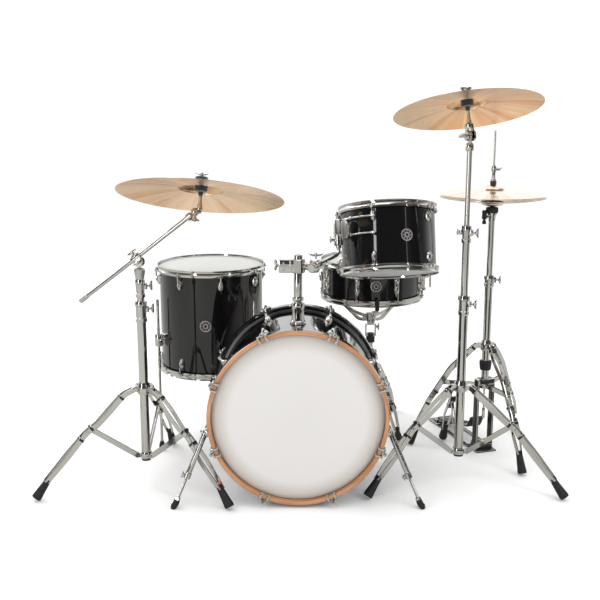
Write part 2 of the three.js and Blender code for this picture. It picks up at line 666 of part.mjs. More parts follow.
function hihat() {
  const tripodSize = {
    azimuth: -70 - hatTurn, collar: 378, hub: 236,
    line: [[34, 378], [60, 362], [118, 290], [186, 176], [236, 66]], foot: 268, brace: [150, 240],
  };
  const castingTop = 262;
  const frame = join(
    block(6, 34, 246, -20, 0, 136),
    block(6, 34, 246, 20, 0, 136),
    block(46, 36, 26, 0, 0, castingTop - 12),
    block(64, 70, 6, 0, 0, 3),
    block(46, 34, 24, 0, 0, 13),
    block(90, 70, 8, 0, 300, 4),
    block(16, 232, 5, -36, 150, 2.5),
    block(16, 232, 5, 36, 150, 2.5),
    block(80, 16, 6, 0, 40, 3),
    block(12, 18, 18, -34, 288, 10),
    block(12, 18, 18, 34, 288, 10),
  );
  const base = join(
    clampedTube(13, 10, castingTop - 8, 624, 40),
    rigidTripod(tripodSize, 12.7),
    ring(12.7, 19, 285, 354, 16),
    frame,
  ).subtract(disc(10 + gap, castingTop - 60, 700, tubeSides)).subtract(disc(5, 30, 400, 10));
  const upper = join(
    ring(4, 10, 440, 840, tubeSides),
    ring(4, 20, 836, 854, tubeSides),
    bar([-10, 0, 830], [-44, 0, 824], 5, 8),
    block(8, 26, 10, -46, 0, 824),
  ).subtract(disc(4, 400, 900, tubeSides));
  const rod = join(
    disc(3.2, 150, 1108, 8),
    disc(8, hatPlane.top + hatSize.height + 18, hatPlane.top + hatSize.height + 68, 10),
    disc(17, hatPlane.top + hatSize.height + 1.6 + gap, hatPlane.top + hatSize.height + 18, 10),
    disc(15, hatPlane.top + hatSize.height - 14, hatPlane.top + hatSize.height - 3, 10),
    block(34, 7, 12, 20, 0, hatPlane.top + hatSize.height + 50),
    block(12, 5, 40, 0, 0, 134),
  );
  const footboard = join(
    plate([[-8, 0], [8, -6], [226, 42], [250, 86], [244, 90], [220, 50], [4, 6], [-8, 6]], 54)
      .rotate([0, 0, -90]),
    bar([-27.5, 0, 0], [27.5, 0, 0], 5, 8),
  );
  const made = group([...place.hihat, 0],
    mesh("hihat_base", base, "chrome"),
    pivot("hihat_upper_slide", [0, 0, 0],
      mesh("hihat_upper_tube", upper, "chrome"),
      group([0, 0, hatPlane.bottom], cymbal("hihat_bottom_cymbal", hatSize))),
    pivot("hihat_rod_slide", [0, 0, 0],
      mesh("hihat_rod", rod, "chrome"),
      group([0, 0, hatPlane.top], cymbal("hihat_top_cymbal", hatSize))),
    pivot("hihat_footboard_hinge", [0, 288, 18], mesh("hihat_footboard", footboard, "black")),
  );
  made.children[1].children[1].rotation.x = Math.PI;
  made.rotation.z = hatTurn * Math.PI / 180;
  return made;
}

// ---- kick pedal ----

const kick = { axle: [445, 168], heel: [640, 24], beaterBack: 33 };

function kickPedal() {
  const [axleY, axleZ] = kick.axle;
  const [heelY, heelZ] = kick.heel;
  const frame = join(
    block(8, 26, axleZ + 12, -44, axleY, (axleZ + 12) / 2),
    block(8, 26, axleZ + 12, 44, axleY, (axleZ + 12) / 2),
    block(110, 60, 6, 0, axleY, 3),
    block(40, 24, 6, 0, 403, 3),
    block(70, 216, 4, 0, 540, 2),
    block(84, 66, 8, 0, heelY + 6, 4),
    block(10, 20, 26, -38, heelY, 18),
    block(10, 20, 26, 38, heelY, 18),
  ).subtract(bar([-60, axleY, axleZ], [60, axleY, axleZ], 6.6, 10));
  const back = kick.beaterBack * Math.PI / 180;
  const headAt = [0, Math.sin(back) * 192, Math.cos(back) * 192];
  const beater = join(
    bar([-50, 0, 0], [50, 0, 0], 6, 10),
    bar([0, 0, 0], headAt, 3, 8),
    bar([-14, 0, 0], [14, 0, 0], 18, 10),
    bar(headAt.map((v, i) => v + [0, -22, 14][i]), headAt.map((v, i) => v + [0, 22, -14][i]), 22, 10),
  );
  const footboard = join(
    plate([[-8, 0], [8, -6], [168, 34], [196, 60], [190, 66], [164, 44], [4, 6], [-8, 6]], 62)
      .rotate([0, 0, -90]),
    bar([-32.4, 0, 0], [32.4, 0, 0], 5, 8),
  );
  return [
    mesh("kick_pedal_frame", frame, "black"),
    pivot("beater_hinge", [0, axleY, axleZ], mesh("kick_pedal_beater", beater, "chrome")),
    pivot("kick_footboard_hinge", [0, heelY, heelZ], mesh("kick_pedal_footboard", footboard, "satin")),
  ];
}

// The kit's origin is the middle of its footprint, on the floor.
const kit = group([0, 0, 0],
  bassDrum(), spur(-1), spur(1),
  ...kickPedal(),
  ...rackTomOnMount(),
  floorTomWithLegs(),
  snareOnStand(),
  hihat(),
  crashStand(),
  boomStand(),
);
const extent = new THREE.Box3().setFromObject(kit, true);
const middle = extent.getCenter(new THREE.Vector3());
kit.position.set(-middle.x, -middle.y, -extent.min.z);

export default kit;
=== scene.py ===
import json
import math

import bmesh
import bpy
import numpy as np
from mathutils import Euler, Matrix, Vector


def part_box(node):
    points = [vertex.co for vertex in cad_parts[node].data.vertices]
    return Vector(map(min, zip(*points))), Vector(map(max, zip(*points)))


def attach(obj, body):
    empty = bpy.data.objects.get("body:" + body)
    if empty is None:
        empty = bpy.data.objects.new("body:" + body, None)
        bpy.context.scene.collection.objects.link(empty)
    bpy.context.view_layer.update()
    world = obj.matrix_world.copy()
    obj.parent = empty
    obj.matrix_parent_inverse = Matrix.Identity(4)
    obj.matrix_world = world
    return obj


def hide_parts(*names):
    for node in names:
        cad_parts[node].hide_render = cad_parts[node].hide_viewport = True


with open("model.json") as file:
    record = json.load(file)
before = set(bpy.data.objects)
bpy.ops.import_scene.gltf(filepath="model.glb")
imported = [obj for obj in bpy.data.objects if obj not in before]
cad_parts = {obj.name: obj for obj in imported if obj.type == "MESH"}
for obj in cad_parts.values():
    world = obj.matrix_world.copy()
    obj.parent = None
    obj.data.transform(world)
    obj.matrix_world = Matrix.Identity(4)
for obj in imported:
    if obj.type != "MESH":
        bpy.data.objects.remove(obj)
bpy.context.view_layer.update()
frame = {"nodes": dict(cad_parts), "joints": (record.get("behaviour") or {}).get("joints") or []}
joints = {joint["name"]: joint for joint in frame["joints"]}
mm = 0.001  # shapes are drawn in millimetres and placed in metres
inch = 25.4


# Placing things. turn and move work in the units of the shape being drawn.
def turn(degrees, axis):
    return Matrix.Rotation(math.radians(degrees), 4, axis)


def move(x, y, z):
    return Matrix.Translation((x, y, z))


def basis(origin, x, y, z):
    columns = [Vector(v).normalized() for v in (x, y, z)]
    made = Matrix.Identity(4)
    for i, column in enumerate(columns):
        for row in range(3):
            made[row][i] = column[row]
    made.translation = Vector(origin)
    return made


def upright(x, y, z=0.0, degrees=0.0):
    return move(x, y, z) @ turn(degrees, "Z")


def roundFrame(node, level=False):
    # A round node's axis becomes Z, and the origin is on the axis at its low end. X is level if asked.
    points = np.array([v.co for v in frame["nodes"][node].data.vertices])
    points = np.unique(points.round(6), axis=0)
    middle = points.mean(0)
    normal = Vector(np.linalg.svd(points - middle, full_matrices=False)[2][2])
    normal = normal if normal.z > 0 else -normal
    low = ((points - middle) @ np.array(normal)).min()
    sideways = Vector((-normal.y, normal.x, 0)) if level else Vector((normal.z, 0, -normal.x))
    return basis(Vector(middle) + normal * low, sideways, normal.cross(sideways), normal)


def hingeFrame(name, sign=1):
    # X points out from the tube, Y is the pin and Z is up.
    pin = Vector(joints[name]["axis"]) * sign
    return basis(joints[name]["pos_m"], pin.cross((0, 0, 1)), pin, (0, 0, 1))


def centreOf(node):
    low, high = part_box(node)
    return (low + high) / 2


# Shapes
def paintFaces(verts, paint):
    for face in {face for vert in verts for face in vert.link_faces}:
        face.material_index = paint


def lathe(form, profile, place=Matrix(), steps=40, paint=0):
    # paint is one finish, or one for each stretch of the profile
    closed = profile[0] == profile[-1]
    points = profile[:-1] if closed else profile
    rows = []
    for radius, height in points:
        if radius < 1e-6:
            rows.append([form.verts.new(place @ Vector((0, 0, height)))] * steps)
            continue
        angles = [2 * math.pi * i / steps for i in range(steps)]
        rows.append([form.verts.new(place @ Vector((radius * math.cos(a), radius * math.sin(a), height)))
                     for a in angles])
    uppers = rows[1:] + rows[:1] if closed else rows[1:]
    for k, (low, high) in enumerate(zip(rows, uppers)):
        for i in range(steps):
            j = (i + 1) % steps
            corners = list(dict.fromkeys([low[i], low[j], high[j], high[i]]))
            if len(corners) > 2:
                face = form.faces.new(corners)
                face.material_index = paint[k] if isinstance(paint, list) else paint


def skin(form, rings, paint=0, capped=True):
    # joins rings of points, one after another
    made = [[form.verts.new(point) for point in ring] for ring in rings]
    count = len(made[0])
    for low, high in zip(made, made[1:]):
        for i in range(count):
            j = (i + 1) % count
            form.faces.new([low[i], low[j], high[j], high[i]]).material_index = paint
    if capped:
        form.faces.new(made[0]).material_index = paint
        form.faces.new(made[-1]).material_index = paint


def tube(form, path, radius, place=Matrix(), steps=14, paint=0, squeeze=1.0):
    points = [place @ Vector(point) for point in path]
    radii = radius if isinstance(radius, list) else [radius] * len(points)
    rings, side = [], None
    for i, point in enumerate(points):
        along = (points[min(i + 1, len(points) - 1)] - points[max(i - 1, 0)]).normalized()
        side = along.orthogonal() if side is None else side
        side = (side - along * side.dot(along)).normalized()
        other = along.cross(side) * squeeze
        angles = [2 * math.pi * k / steps for k in range(steps)]
        rings.append([point + (side * math.cos(a) + other * math.sin(a)) * radii[i] for a in angles])
    skin(form, rings, paint)


def rod(form, start, end, radius, place=Matrix(), steps=16, paint=0, chamfer=0.6):
    a, b = Vector(start), Vector(end)
    step = (b - a).normalized() * chamfer
    tube(form, [a, a + step, b - step, b], [radius - chamfer, radius, radius, radius - chamfer], place,
         steps, paint)


def softBox(form, size, place=Matrix(), bevel=1.2, paint=0):
    scale = Matrix.Diagonal((*size, 1))
    verts = bmesh.ops.create_cube(form, size=1, matrix=place @ scale)["verts"]
    paintFaces(verts, paint)
    edges = list({edge for vert in verts for edge in vert.link_edges})
    bmesh.ops.bevel(form, geom=edges, offset=bevel, segments=2, profile=0.5, affect="EDGES",
                    clamp_overlap=True)


def pebble(form, size, place=Matrix(), paint=0, steps=14):
    scale = Matrix.Diagonal((*size, 1))
    verts = bmesh.ops.create_uvsphere(
        form, u_segments=steps, v_segments=8, radius=1, matrix=place @ scale)["verts"]
    paintFaces(verts, paint)


def smoothLine(line, radius=12, steps=4):
    # rounds the corners of a bent line
    points = [Vector(point) for point in line]
    made = [points[0]]
    for before, corner, after in zip(points, points[1:], points[2:]):
        reach = min(radius, (before - corner).length * 0.45, (after - corner).length * 0.45)
        a = corner + (before - corner).normalized() * reach
        b = corner + (after - corner).normalized() * reach
        for i in range(steps + 1):
            t = i / steps
            made.append(a * (1 - t) ** 2 + corner * 2 * t * (1 - t) + b * t ** 2)
    return made + [points[-1]]


def strip(form, line, height, thickness, place=Matrix(), paint=0, bend=14):
    # a flat bar on edge that follows a line of (out, up, aside) points
    points = smoothLine(line, bend)
    tall, thin, edge = height / 2, thickness / 2, min(height, thickness) * 0.3
    corners = [(tall - edge, thin), (tall, thin - edge), (tall, edge - thin), (tall - edge, -thin),
               (edge - tall, -thin), (-tall, edge - thin), (-tall, thin - edge), (edge - tall, thin)]
    rings = []
    for i, point in enumerate(points):
        ahead = points[min(i + 1, len(points) - 1)] - points[max(i - 1, 0)]
        along = Vector((ahead.x, ahead.y)).normalized()
        rings.append([place @ Vector((point.x - along.y * u, v + point.z, point.y + along.x * u))
                      for u, v in corners])
    skin(form, rings, paint)


def plate(form, outline, thickness, place=Matrix(), paint=0, bevel=1.0):
    # a flat plate from an outline of (x, y) points, centred on z = 0
    half = thickness / 2
    low = [form.verts.new(place @ Vector((x, y, -half))) for x, y in outline]
    high = [form.verts.new(place @ Vector((x, y, half))) for x, y in outline]
    faces = [form.faces.new(low), form.faces.new(high)]
    count = len(outline)
    for i in range(count):
        j = (i + 1) % count
        faces.append(form.faces.new([low[i], low[j], high[j], high[i]]))
    for face in faces:
        face.material_index = paint
    rims = list({edge for face in faces[:2] for edge in face.edges})
    bmesh.ops.bevel(form, geom=rims, offset=bevel, segments=2, profile=0.5, affect="EDGES",
                    clamp_overlap=True)


def wingBolt(form, place, stem=10, span=26, paint=0):
    # the bolt runs up local Z, and a curved oval wing lies across its end along local X
    rod(form, (0, 0, -2), (0, 0, stem), 3, place, 12, paint)
    lathe(form, [(0, stem - 4), (4.6, stem - 4), (5.6, stem - 2), (6.2, stem + 3), (4.8, stem + 6.4),
                 (0, stem + 7)],
          place, 20, paint)
    path, widths = [], []
    for k in range(-6, 7):
        share = k / 6
        path.append((share * span / 2, 0, stem + 2.4 + 3.4 * share * share))
        widths.append(span * 0.2 * math.sqrt(max(1 - share * share, 0.04)) * (0.86 + 0.3 * abs(share)))
    tube(form, path, widths, place, 16, paint, 0.5)


def socketNut(form, place, radius=5, height=7, paint=0):
    lathe(form, [(0, 0), (radius, 0), (radius, height * 0.75), (radius * 0.75, height), (0, height)],
          place, 6, paint)


# Finishes
def newFinish(name, color, metallic=0.0, roughness=0.5, **shaderValues):
    finish = bpy.data.materials.new(name)
    finish.use_nodes = True
    shader = finish.node_tree.nodes["Principled BSDF"]
    shader.inputs["Base Color"].default_value = (*color, 1)
    shader.inputs["Metallic"].default_value = metallic
    shader.inputs["Roughness"].default_value = roughness
    for socket, value in shaderValues.items():
        shader.inputs[socket.replace("_", " ")].default_value = value
    finish.diffuse_color = (*color, 1)
    return finish, shader


def addNode(finish, kind, **values):
    node = finish.node_tree.nodes.new(kind)
    for socket, value in values.items():
        node.inputs[socket.replace("_", " ")].default_value = value
    return node


def wire(finish, source, target):
    finish.node_tree.links.new(source, target)


def localPoint(finish, stretch=(1, 1, 1), lean=None):
    # lean untwists a piece whose own axis is tilted, so rings still run round that axis
    place = finish.node_tree.nodes.new("ShaderNodeTexCoord")
    point = place.outputs["Object"]
    if lean:
        level = addNode(finish, "ShaderNodeMapping")
        level.vector_type = "TEXTURE"
        level.inputs["Rotation"].default_value = lean
        wire(finish, point, level.inputs["Vector"])
        point = level.outputs["Vector"]
    mapping = addNode(finish, "ShaderNodeMapping")
    mapping.inputs["Scale"].default_value = stretch
    wire(finish, point, mapping.inputs["Vector"])
    return mapping.outputs["Vector"]


def speckle(finish, scale, detail=4.0, stretch=(1, 1, 1), rough=0.55):
    noise = addNode(finish, "ShaderNodeTexNoise", Scale=scale, Detail=detail, Roughness=rough)
    wire(finish, localPoint(finish, stretch), noise.inputs["Vector"])
    return noise.outputs["Fac"]


def shadeBetween(finish, factor, stops):
    ramp = finish.node_tree.nodes.new("ShaderNodeValToRGB")
    while len(ramp.color_ramp.elements) < len(stops):
        ramp.color_ramp.elements.new(0.5)
    for element, (spot, color) in zip(ramp.color_ramp.elements, stops):
        element.position = spot
        element.color = (*color, 1)
    wire(finish, factor, ramp.inputs["Fac"])
    return ramp.outputs["Color"]


def varyRoughness(finish, shader, factor, low, high):
    span = addNode(finish, "ShaderNodeMapRange")
    span.inputs["To Min"].default_value = low
    span.inputs["To Max"].default_value = high
    wire(finish, factor, span.inputs["Value"])
    wire(finish, span.outputs["Result"], shader.inputs["Roughness"])


def roughen(finish, shader, factor, strength, depth):
    bump = addNode(finish, "ShaderNodeBump", Strength=strength, Distance=depth)
    wire(finish, factor, bump.inputs["Height"])
    wire(finish, bump.outputs["Normal"], shader.inputs["Normal"])


def distanceFromAxis(finish):
    split = finish.node_tree.nodes.new("ShaderNodeVectorMath")
    split.operation = "LENGTH"
    wire(finish, localPoint(finish, (1, 1, 0)), split.inputs[0])
    return split.outputs["Value"]


def makeLacquer():
    finish, shader = newFinish("blackLacquer", (0.0035, 0.0035, 0.004), 0, 0.09,
                               Coat_Weight=1.0, Coat_Roughness=0.025, Specular_IOR_Level=0.2)
    varyRoughness(finish, shader, speckle(finish, 30), 0.06, 0.13)
    roughen(finish, shader, speckle(finish, 9, 2), 0.03, 0.002)
    return finish


def makeMaple():
    # Grain runs round the hoop, so the noise is long across the radius and short along the width.
    finish, shader = newFinish("glossMaple", (0.55, 0.26, 0.1), 0, 0.3, Coat_Weight=0.7, Coat_Roughness=0.08)
    grain = speckle(finish, 7, 6, (1, 1, 42), 0.65)
    wire(finish, shadeBetween(finish, grain, [
        (0.28, (0.27, 0.11, 0.042)), (0.5, (0.43, 0.2, 0.085)), (0.74, (0.56, 0.29, 0.135))]),
        shader.inputs["Base Color"])
    varyRoughness(finish, shader, grain, 0.24, 0.4)
    roughen(finish, shader, grain, 0.12, 0.0006)
    return finish


def makeFilm(name, rim, tint, rimToneAndShade):
    # A coated head: fine grit all over, and towards its rim a warmer tone that also darkens as painted shade
    # beside the hoop.
    finish, shader = newFinish(name, tint, 0, 0.55, Sheen_Weight=0.1, Specular_IOR_Level=0.35)
    reach = addNode(finish, "ShaderNodeMapRange")
    reach.inputs["From Min"].default_value = 0.0
    reach.inputs["From Max"].default_value = rim
    wire(finish, distanceFromAxis(finish), reach.inputs["Value"])
    # the last stops darken the rim: painted shade next to the hoop
    wire(finish, shadeBetween(finish, reach.outputs["Result"], [
        (0.0, tuple(value * 0.97 for value in tint)), (0.8, tint), (0.93, rimToneAndShade),
        (1.0, tuple(value * 0.8 for value in rimToneAndShade))]), shader.inputs["Base Color"])
    varyRoughness(finish, shader, speckle(finish, 240), 0.45, 0.68)
    roughen(finish, shader, speckle(finish, 900, 3), 0.16, 0.0004)
    return finish


def makeChrome():
    finish, shader = newFinish("chromePlate", (0.67, 0.665, 0.645), 1, 0.07)
    varyRoughness(finish, shader, speckle(finish, 45), 0.045, 0.1)
    roughen(finish, shader, speckle(finish, 22, 2), 0.02, 0.001)
    return finish


def makeBrushed(name, color, roughness, grit):
    finish, shader = newFinish(name, color, 1, roughness)
    marks = speckle(finish, 220, 5, (1, 1, 0.12))
    varyRoughness(finish, shader, marks, roughness * 0.75, roughness * 1.3)
    roughen(finish, shader, marks, grit, 0.0004)
    return finish


def makeBlackSteel():
    finish, shader = newFinish("blackSteel", (0.012, 0.012, 0.013), 0.2, 0.34, Coat_Weight=0.3)
    grain = speckle(finish, 380, 4)
    varyRoughness(finish, shader, grain, 0.26, 0.46)
    roughen(finish, shader, grain, 0.14, 0.0004)
    return finish


def makeRubber():
    finish, shader = newFinish("blackRubber", (0.011, 0.011, 0.011), 0, 0.62, Specular_IOR_Level=0.4)
    grain = speckle(finish, 260, 5)
    wire(finish, shadeBetween(finish, grain, [(0.3, (0.007, 0.007, 0.007)), (0.8, (0.022, 0.021, 0.02))]),
         shader.inputs["Base Color"])
    roughen(finish, shader, grain, 0.3, 0.0006)
    return finish


def makeFelt():
    finish, shader = newFinish("blackFelt", (0.014, 0.014, 0.014), 0, 0.95, Sheen_Weight=0.5)
    fibres = speckle(finish, 520, 6)
    wire(finish, shadeBetween(finish, fibres, [(0.3, (0.006, 0.006, 0.006)), (0.8, (0.045, 0.043, 0.042))]),
         shader.inputs["Base Color"])
    roughen(finish, shader, fibres, 0.6, 0.0012)
    return finish


def makeBronze(name, tones, roughness, grooves, lean=None):
    # Lathed rings run round the axis. Broad wedges of painted reflection run out from the bell, over random
    # blotches of tone.
    finish, shader = newFinish(name, tones[1], 1, roughness, Anisotropic=0.8)
    rings = finish.node_tree.nodes.new("ShaderNodeTexWave")
    rings.wave_type = "RINGS"
    rings.rings_direction = "Z"
    rings.inputs["Scale"].default_value = 210
    rings.inputs["Distortion"].default_value = 1.2
    rings.inputs["Detail"].default_value = 3
    wire(finish, localPoint(finish, (1, 1, 0), lean), rings.inputs["Vector"])
    heading = finish.node_tree.nodes.new("ShaderNodeVectorMath")
    heading.operation = "NORMALIZE"
    wire(finish, localPoint(finish, (1, 1, 0), lean), heading.inputs[0])
    # fans of tone out from the bell: painted reflection, as a lathed cymbal shows under studio lamps
    paintedReflectionFans = addNode(finish, "ShaderNodeTexNoise", Scale=2.6, Detail=3, Roughness=0.6)
    wire(finish, heading.outputs["Vector"], paintedReflectionFans.inputs["Vector"])
    blend = finish.node_tree.nodes.new("ShaderNodeMath")
    blend.operation = "MULTIPLY_ADD"
    blend.inputs[1].default_value = 0.25
    blend.use_clamp = True
    wire(finish, speckle(finish, 14, 5), blend.inputs[0])
    stretch = addNode(finish, "ShaderNodeMapRange")
    stretch.inputs["From Min"].default_value = 0.36
    stretch.inputs["From Max"].default_value = 0.66
    stretch.inputs["To Max"].default_value = 0.8
    wire(finish, paintedReflectionFans.outputs["Fac"], stretch.inputs["Value"])
    wire(finish, stretch.outputs["Result"], blend.inputs[2])
    wire(finish, shadeBetween(finish, blend.outputs["Value"], [
        (0.05, tones[0]), (0.35, tones[1]), (0.6, tones[2]), (0.95, tones[1])]), shader.inputs["Base Color"])
    varyRoughness(finish, shader, rings.outputs["Fac"], roughness * 0.85, roughness * 1.2)
    roughen(finish, shader, rings.outputs["Fac"], grooves, 0.0002)
    if lean:
        axis = Euler(lean).to_matrix() @ Vector((0, 0, 1))
        across = finish.node_tree.nodes.new("ShaderNodeVectorMath")
        across.operation = "CROSS_PRODUCT"
        across.inputs[0].default_value = axis
        wire(finish, localPoint(finish), across.inputs[1])
        around = finish.node_tree.nodes.new("ShaderNodeVectorTransform")
        around.vector_type = "VECTOR"
        around.convert_from = "OBJECT"
        around.convert_to = "WORLD"
        wire(finish, across.outputs["Vector"], around.inputs["Vector"])
        wire(finish, around.outputs["Vector"], shader.inputs["Tangent"])
        return finish
    around = finish.node_tree.nodes.new("ShaderNodeTangent")
    around.direction_type = "RADIAL"
    around.axis = "Z"
    wire(finish, around.outputs["Tangent"], shader.inputs["Tangent"])
    return finish


def makePlain(name, color, roughness, scale):
    # small coloured trims, with a little wear in tone and gloss
    finish, shader = newFinish(name, color, 0, roughness)
    marks = speckle(finish, scale, 4)
    wire(finish, shadeBetween(finish, marks, [
        (0.25, tuple(value * 0.75 for value in color)),
        (0.8, tuple(min(1, value * 1.15) for value in color))]),
        shader.inputs["Base Color"])
    varyRoughness(finish, shader, marks, roughness * 0.8, roughness * 1.2)
    return finish


lacquer = makeLacquer()
maple = makeMaple()
bassFilm = makeFilm("bassHeadFilm", 0.256, (0.58, 0.565, 0.55), (0.47, 0.44, 0.41))
drumFilm = makeFilm("drumHeadFilm", 0.18, (0.5, 0.5, 0.48), (0.45, 0.45, 0.43))
chrome = makeChrome()
satin = makeBrushed("satinSteel", (0.5, 0.51, 0.53), 0.34, 0.12)
castGrey = makeBrushed("castGrey", (0.62, 0.62, 0.61), 0.42, 0.2)
blackSteel = makeBlackSteel()
rubber = makeRubber()
felt = makeFelt()
bronze = makeBronze("lathedBronze", ((0.74, 0.4, 0.2), (0.86, 0.54, 0.31), (0.96, 0.7, 0.47)), 0.24, 0.2)
crashBronze = makeBronze("tiltedBronze", ((0.74, 0.4, 0.2), (0.86, 0.54, 0.31), (0.96, 0.7, 0.47)), 0.24, 0.2,
                         roundFrame("crash_cymbal", True).to_euler())
# the hats use the bronze in paler tones: painted reflection of the pale studio
hatBronze = makeBronze("hatBronzePaintedReflection", ((0.8, 0.58, 0.41), (0.88, 0.72, 0.58), (0.94, 0.82, 0.71)), 0.18, 0.1)
redEnamel = makePlain("redEnamel", (0.12, 0.016, 0.012), 0.3, 300)
orangeBand = makePlain("orangeBand", (0.75, 0.12, 0.05), 0.5, 200)
innerPly = makePlain("innerPly", (0.5, 0.31, 0.16), 0.5, 30)
print("finishes made")


def makePiece(name, form, place, finishes, body, stands=(), sharp=36, ownTurn=False):
    bmesh.ops.recalc_face_normals(form, faces=form.faces)
    for face in form.faces:
        face.smooth = True
    for edge in form.edges:
        if len(edge.link_faces) == 2 and edge.calc_face_angle(0) > math.radians(sharp):
            edge.smooth = False
    shape = bpy.data.meshes.new(name)
    form.to_mesh(shape)
    form.free()
    shape.transform(Matrix.Scale(mm, 4))
    if not ownTurn:  # finishes that don't follow an axis need only the piece's spot
        shape.transform(place.to_3x3().to_4x4())
        place = Matrix.Translation(place.translation)
    for finish in finishes:
        shape.materials.append(finish)
    piece = bpy.data.objects.new(name, shape)
    bpy.context.scene.collection.objects.link(piece)
    piece.matrix_world = place
    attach(piece, body)
    if stands:
        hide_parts(*stands)
    return piece


# Drums
rackTom = {"name": "rackTom", "node": "rack_tom", "body": "rack_tom", "radius": 6 * inch, "depth": 8 * inch,
           "lugs": 5, "firstLug": -112, "lugLength": 36, "lugFromEdge": 19, "badge": (-73, 0.5)}
floorTom = {"name": "floorTom", "node": "floor_tom", "body": "kit_base", "radius": 7 * inch,
            "depth": 14 * inch,
            "lugs": 8, "firstLug": -75, "lugLength": 36, "lugFromEdge": 24, "badge": (-91.5, 0.5)}
snare = {"name": "snare", "node": "snare", "body": "snare_drum", "radius": 7 * inch, "depth": 5 * inch,
         "lugs": 8, "firstLug": -110, "lugLength": 84, "lugFromEdge": 21, "badge": (-89, 0.5)}
hoopShape = {"wall": 7, "low": -13, "high": 10, "rodOut": 12.5}


def drumFrame(drum):
    # the low end of the top head is 9 mm below the bearing edge
    top = roundFrame(drum["node"] + "_top_head")
    return top @ move(0, 0, (9 - drum["depth"]) * mm)


def drumLug(form, place, length, out=13, width=20):
    # an oval casting with a raised middle, standing out along local X from the shell
    rings = []
    for i in range(13):
        t = -1 + i / 6
        swell = math.sqrt(max(1 - t * t, 0.02))
        waist = 1 - 0.16 * math.cos(t * math.pi * 2) if length > 60 else 1.0
        half, proud = width / 2 * swell * waist, out * (0.25 + 0.75 * swell) * waist
        rings.append([place @ Vector((proud * math.sin(a) - 1.5, half * math.cos(a), t * length / 2))
                      for a in [math.pi * k / 12 for k in range(13)]])
    skin(form, rings)
    pebble(form, (out * 0.5, width * 0.22, min(length, 44) * 0.2), place @ move(out * 0.72, 0, 0))


def keyRod(form, place, fromHeight, toHeight):
    # a square-headed tension rod with its washer, from the hoop's ear down into the lug
    up = 1 if fromHeight > toHeight else -1
    flip = place @ move(0, 0, fromHeight) @ turn(0 if up > 0 else 180, "X")
    rod(form, (0, 0, fromHeight), (0, 0, toHeight), 2.6, place, 10)
    lathe(form, [(0, 0), (5.6, 0), (5.6, 1.4), (0, 1.4)], flip, 20)
    lathe(form, [(0, 1.2), (3.7, 1.2), (4.1, 2), (3.9, 3.6), (0, 3.6)], flip, 20)
    softBox(form, (4.8, 4.8, 6), flip @ move(0, 0, 6.4), 0.5)


def drumHoop(drum, place, name, node, flipped):
    radius, low, high = drum["radius"], hoopShape["low"], hoopShape["high"]
    form = bmesh.new()
    side = turn(180, "X") if flipped else move(0, 0, drum["depth"])
    lathe(form, [(radius + 7.2, low), (radius + 8.8, low), (radius + 9, low + 1), (radius + 9, low + 6.5),
                 (radius + 7, low + 9), (radius + 6.2, high - 7), (radius + 6.8, high - 3.5),
                 (radius + 8.8, high - 2), (radius + 9, high - 0.6), (radius + 8, high),
                 (radius + 5.4, high - 1.6), (radius + 4.6, high - 5), (radius + 4.8, low + 10),
                 (radius + 7.2, low + 7), (radius + 7.2, low)], side, 96)
    for i in range(drum["lugs"]):
        azimuth = drum["firstLug"] + 360 / drum["lugs"] * i
        spot = turn(azimuth, "Z") @ side if not flipped else turn(azimuth, "Z") @ turn(180, "X")
        softBox(form, (13, 15, 3.4), spot @ move(radius + 12.5, 0, low + 2), 1.4)
        for wing in (-1, 1):
            softBox(form, (7, 2.4, 11), spot @ move(radius + 10.5, wing * 7, low + 6), 0.9)
    makePiece(name, form, place, [chrome], drum["body"], [node])


def drumHead(drum, place, name, node, flipped, film):
    radius = drum["radius"]
    form = bmesh.new()
    side = turn(180, "X") if flipped else move(0, 0, drum["depth"])
    lathe(form, [(0, 0.7), (radius * 0.5, 0.7), (radius - 7, 0.7), (radius - 1, 0.6), (radius + 1.4, -0.8),
                 (radius + 2.2, -4), (radius + 2.2, -7), (radius + 3.4, -7), (radius + 3.6, -3.6),
                 (radius + 2.8, 0.2), (radius - 1, 1.7), (radius - 7, 1.8), (radius * 0.5, 1.8), (0, 1.8)],
                 side, 96)
    lathe(form, [(radius + 0.6, -9), (radius + 4.2, -9), (radius + 4.2, -5.6), (radius + 0.6, -5.6),
                 (radius + 0.6, -9)], side, 96, 1)
    makePiece(name, form, place, [film, satin], drum["body"], [node], ownTurn=True)


def ventBadge(form, place, radius=19):
    # a plain round plate: a dark ring of bright studs round a vent, whose closed pit is painted black as
    # painted shade for the open hole
    lathe(form, [(0, -1), (radius, -1), (radius, 0.8), (radius - 1.6, 1.5), (radius - 3, 0.8),
                 (radius * 0.44, 0.8), (radius * 0.42, 1.6), (radius * 0.3, 1.6), (radius * 0.17, 0.9),
                 (radius * 0.15, 0.2), (0, 0.2)], place, 40, [0, 0, 0, 0, 1, 0, 0, 2, 1, 1])
    for i in range(8):
        softBox(form, (radius * 0.14, radius * 0.2, 1),
                place @ turn(i * 45, "Z") @ move(radius * 0.64, 0, 0.9), 0.3)


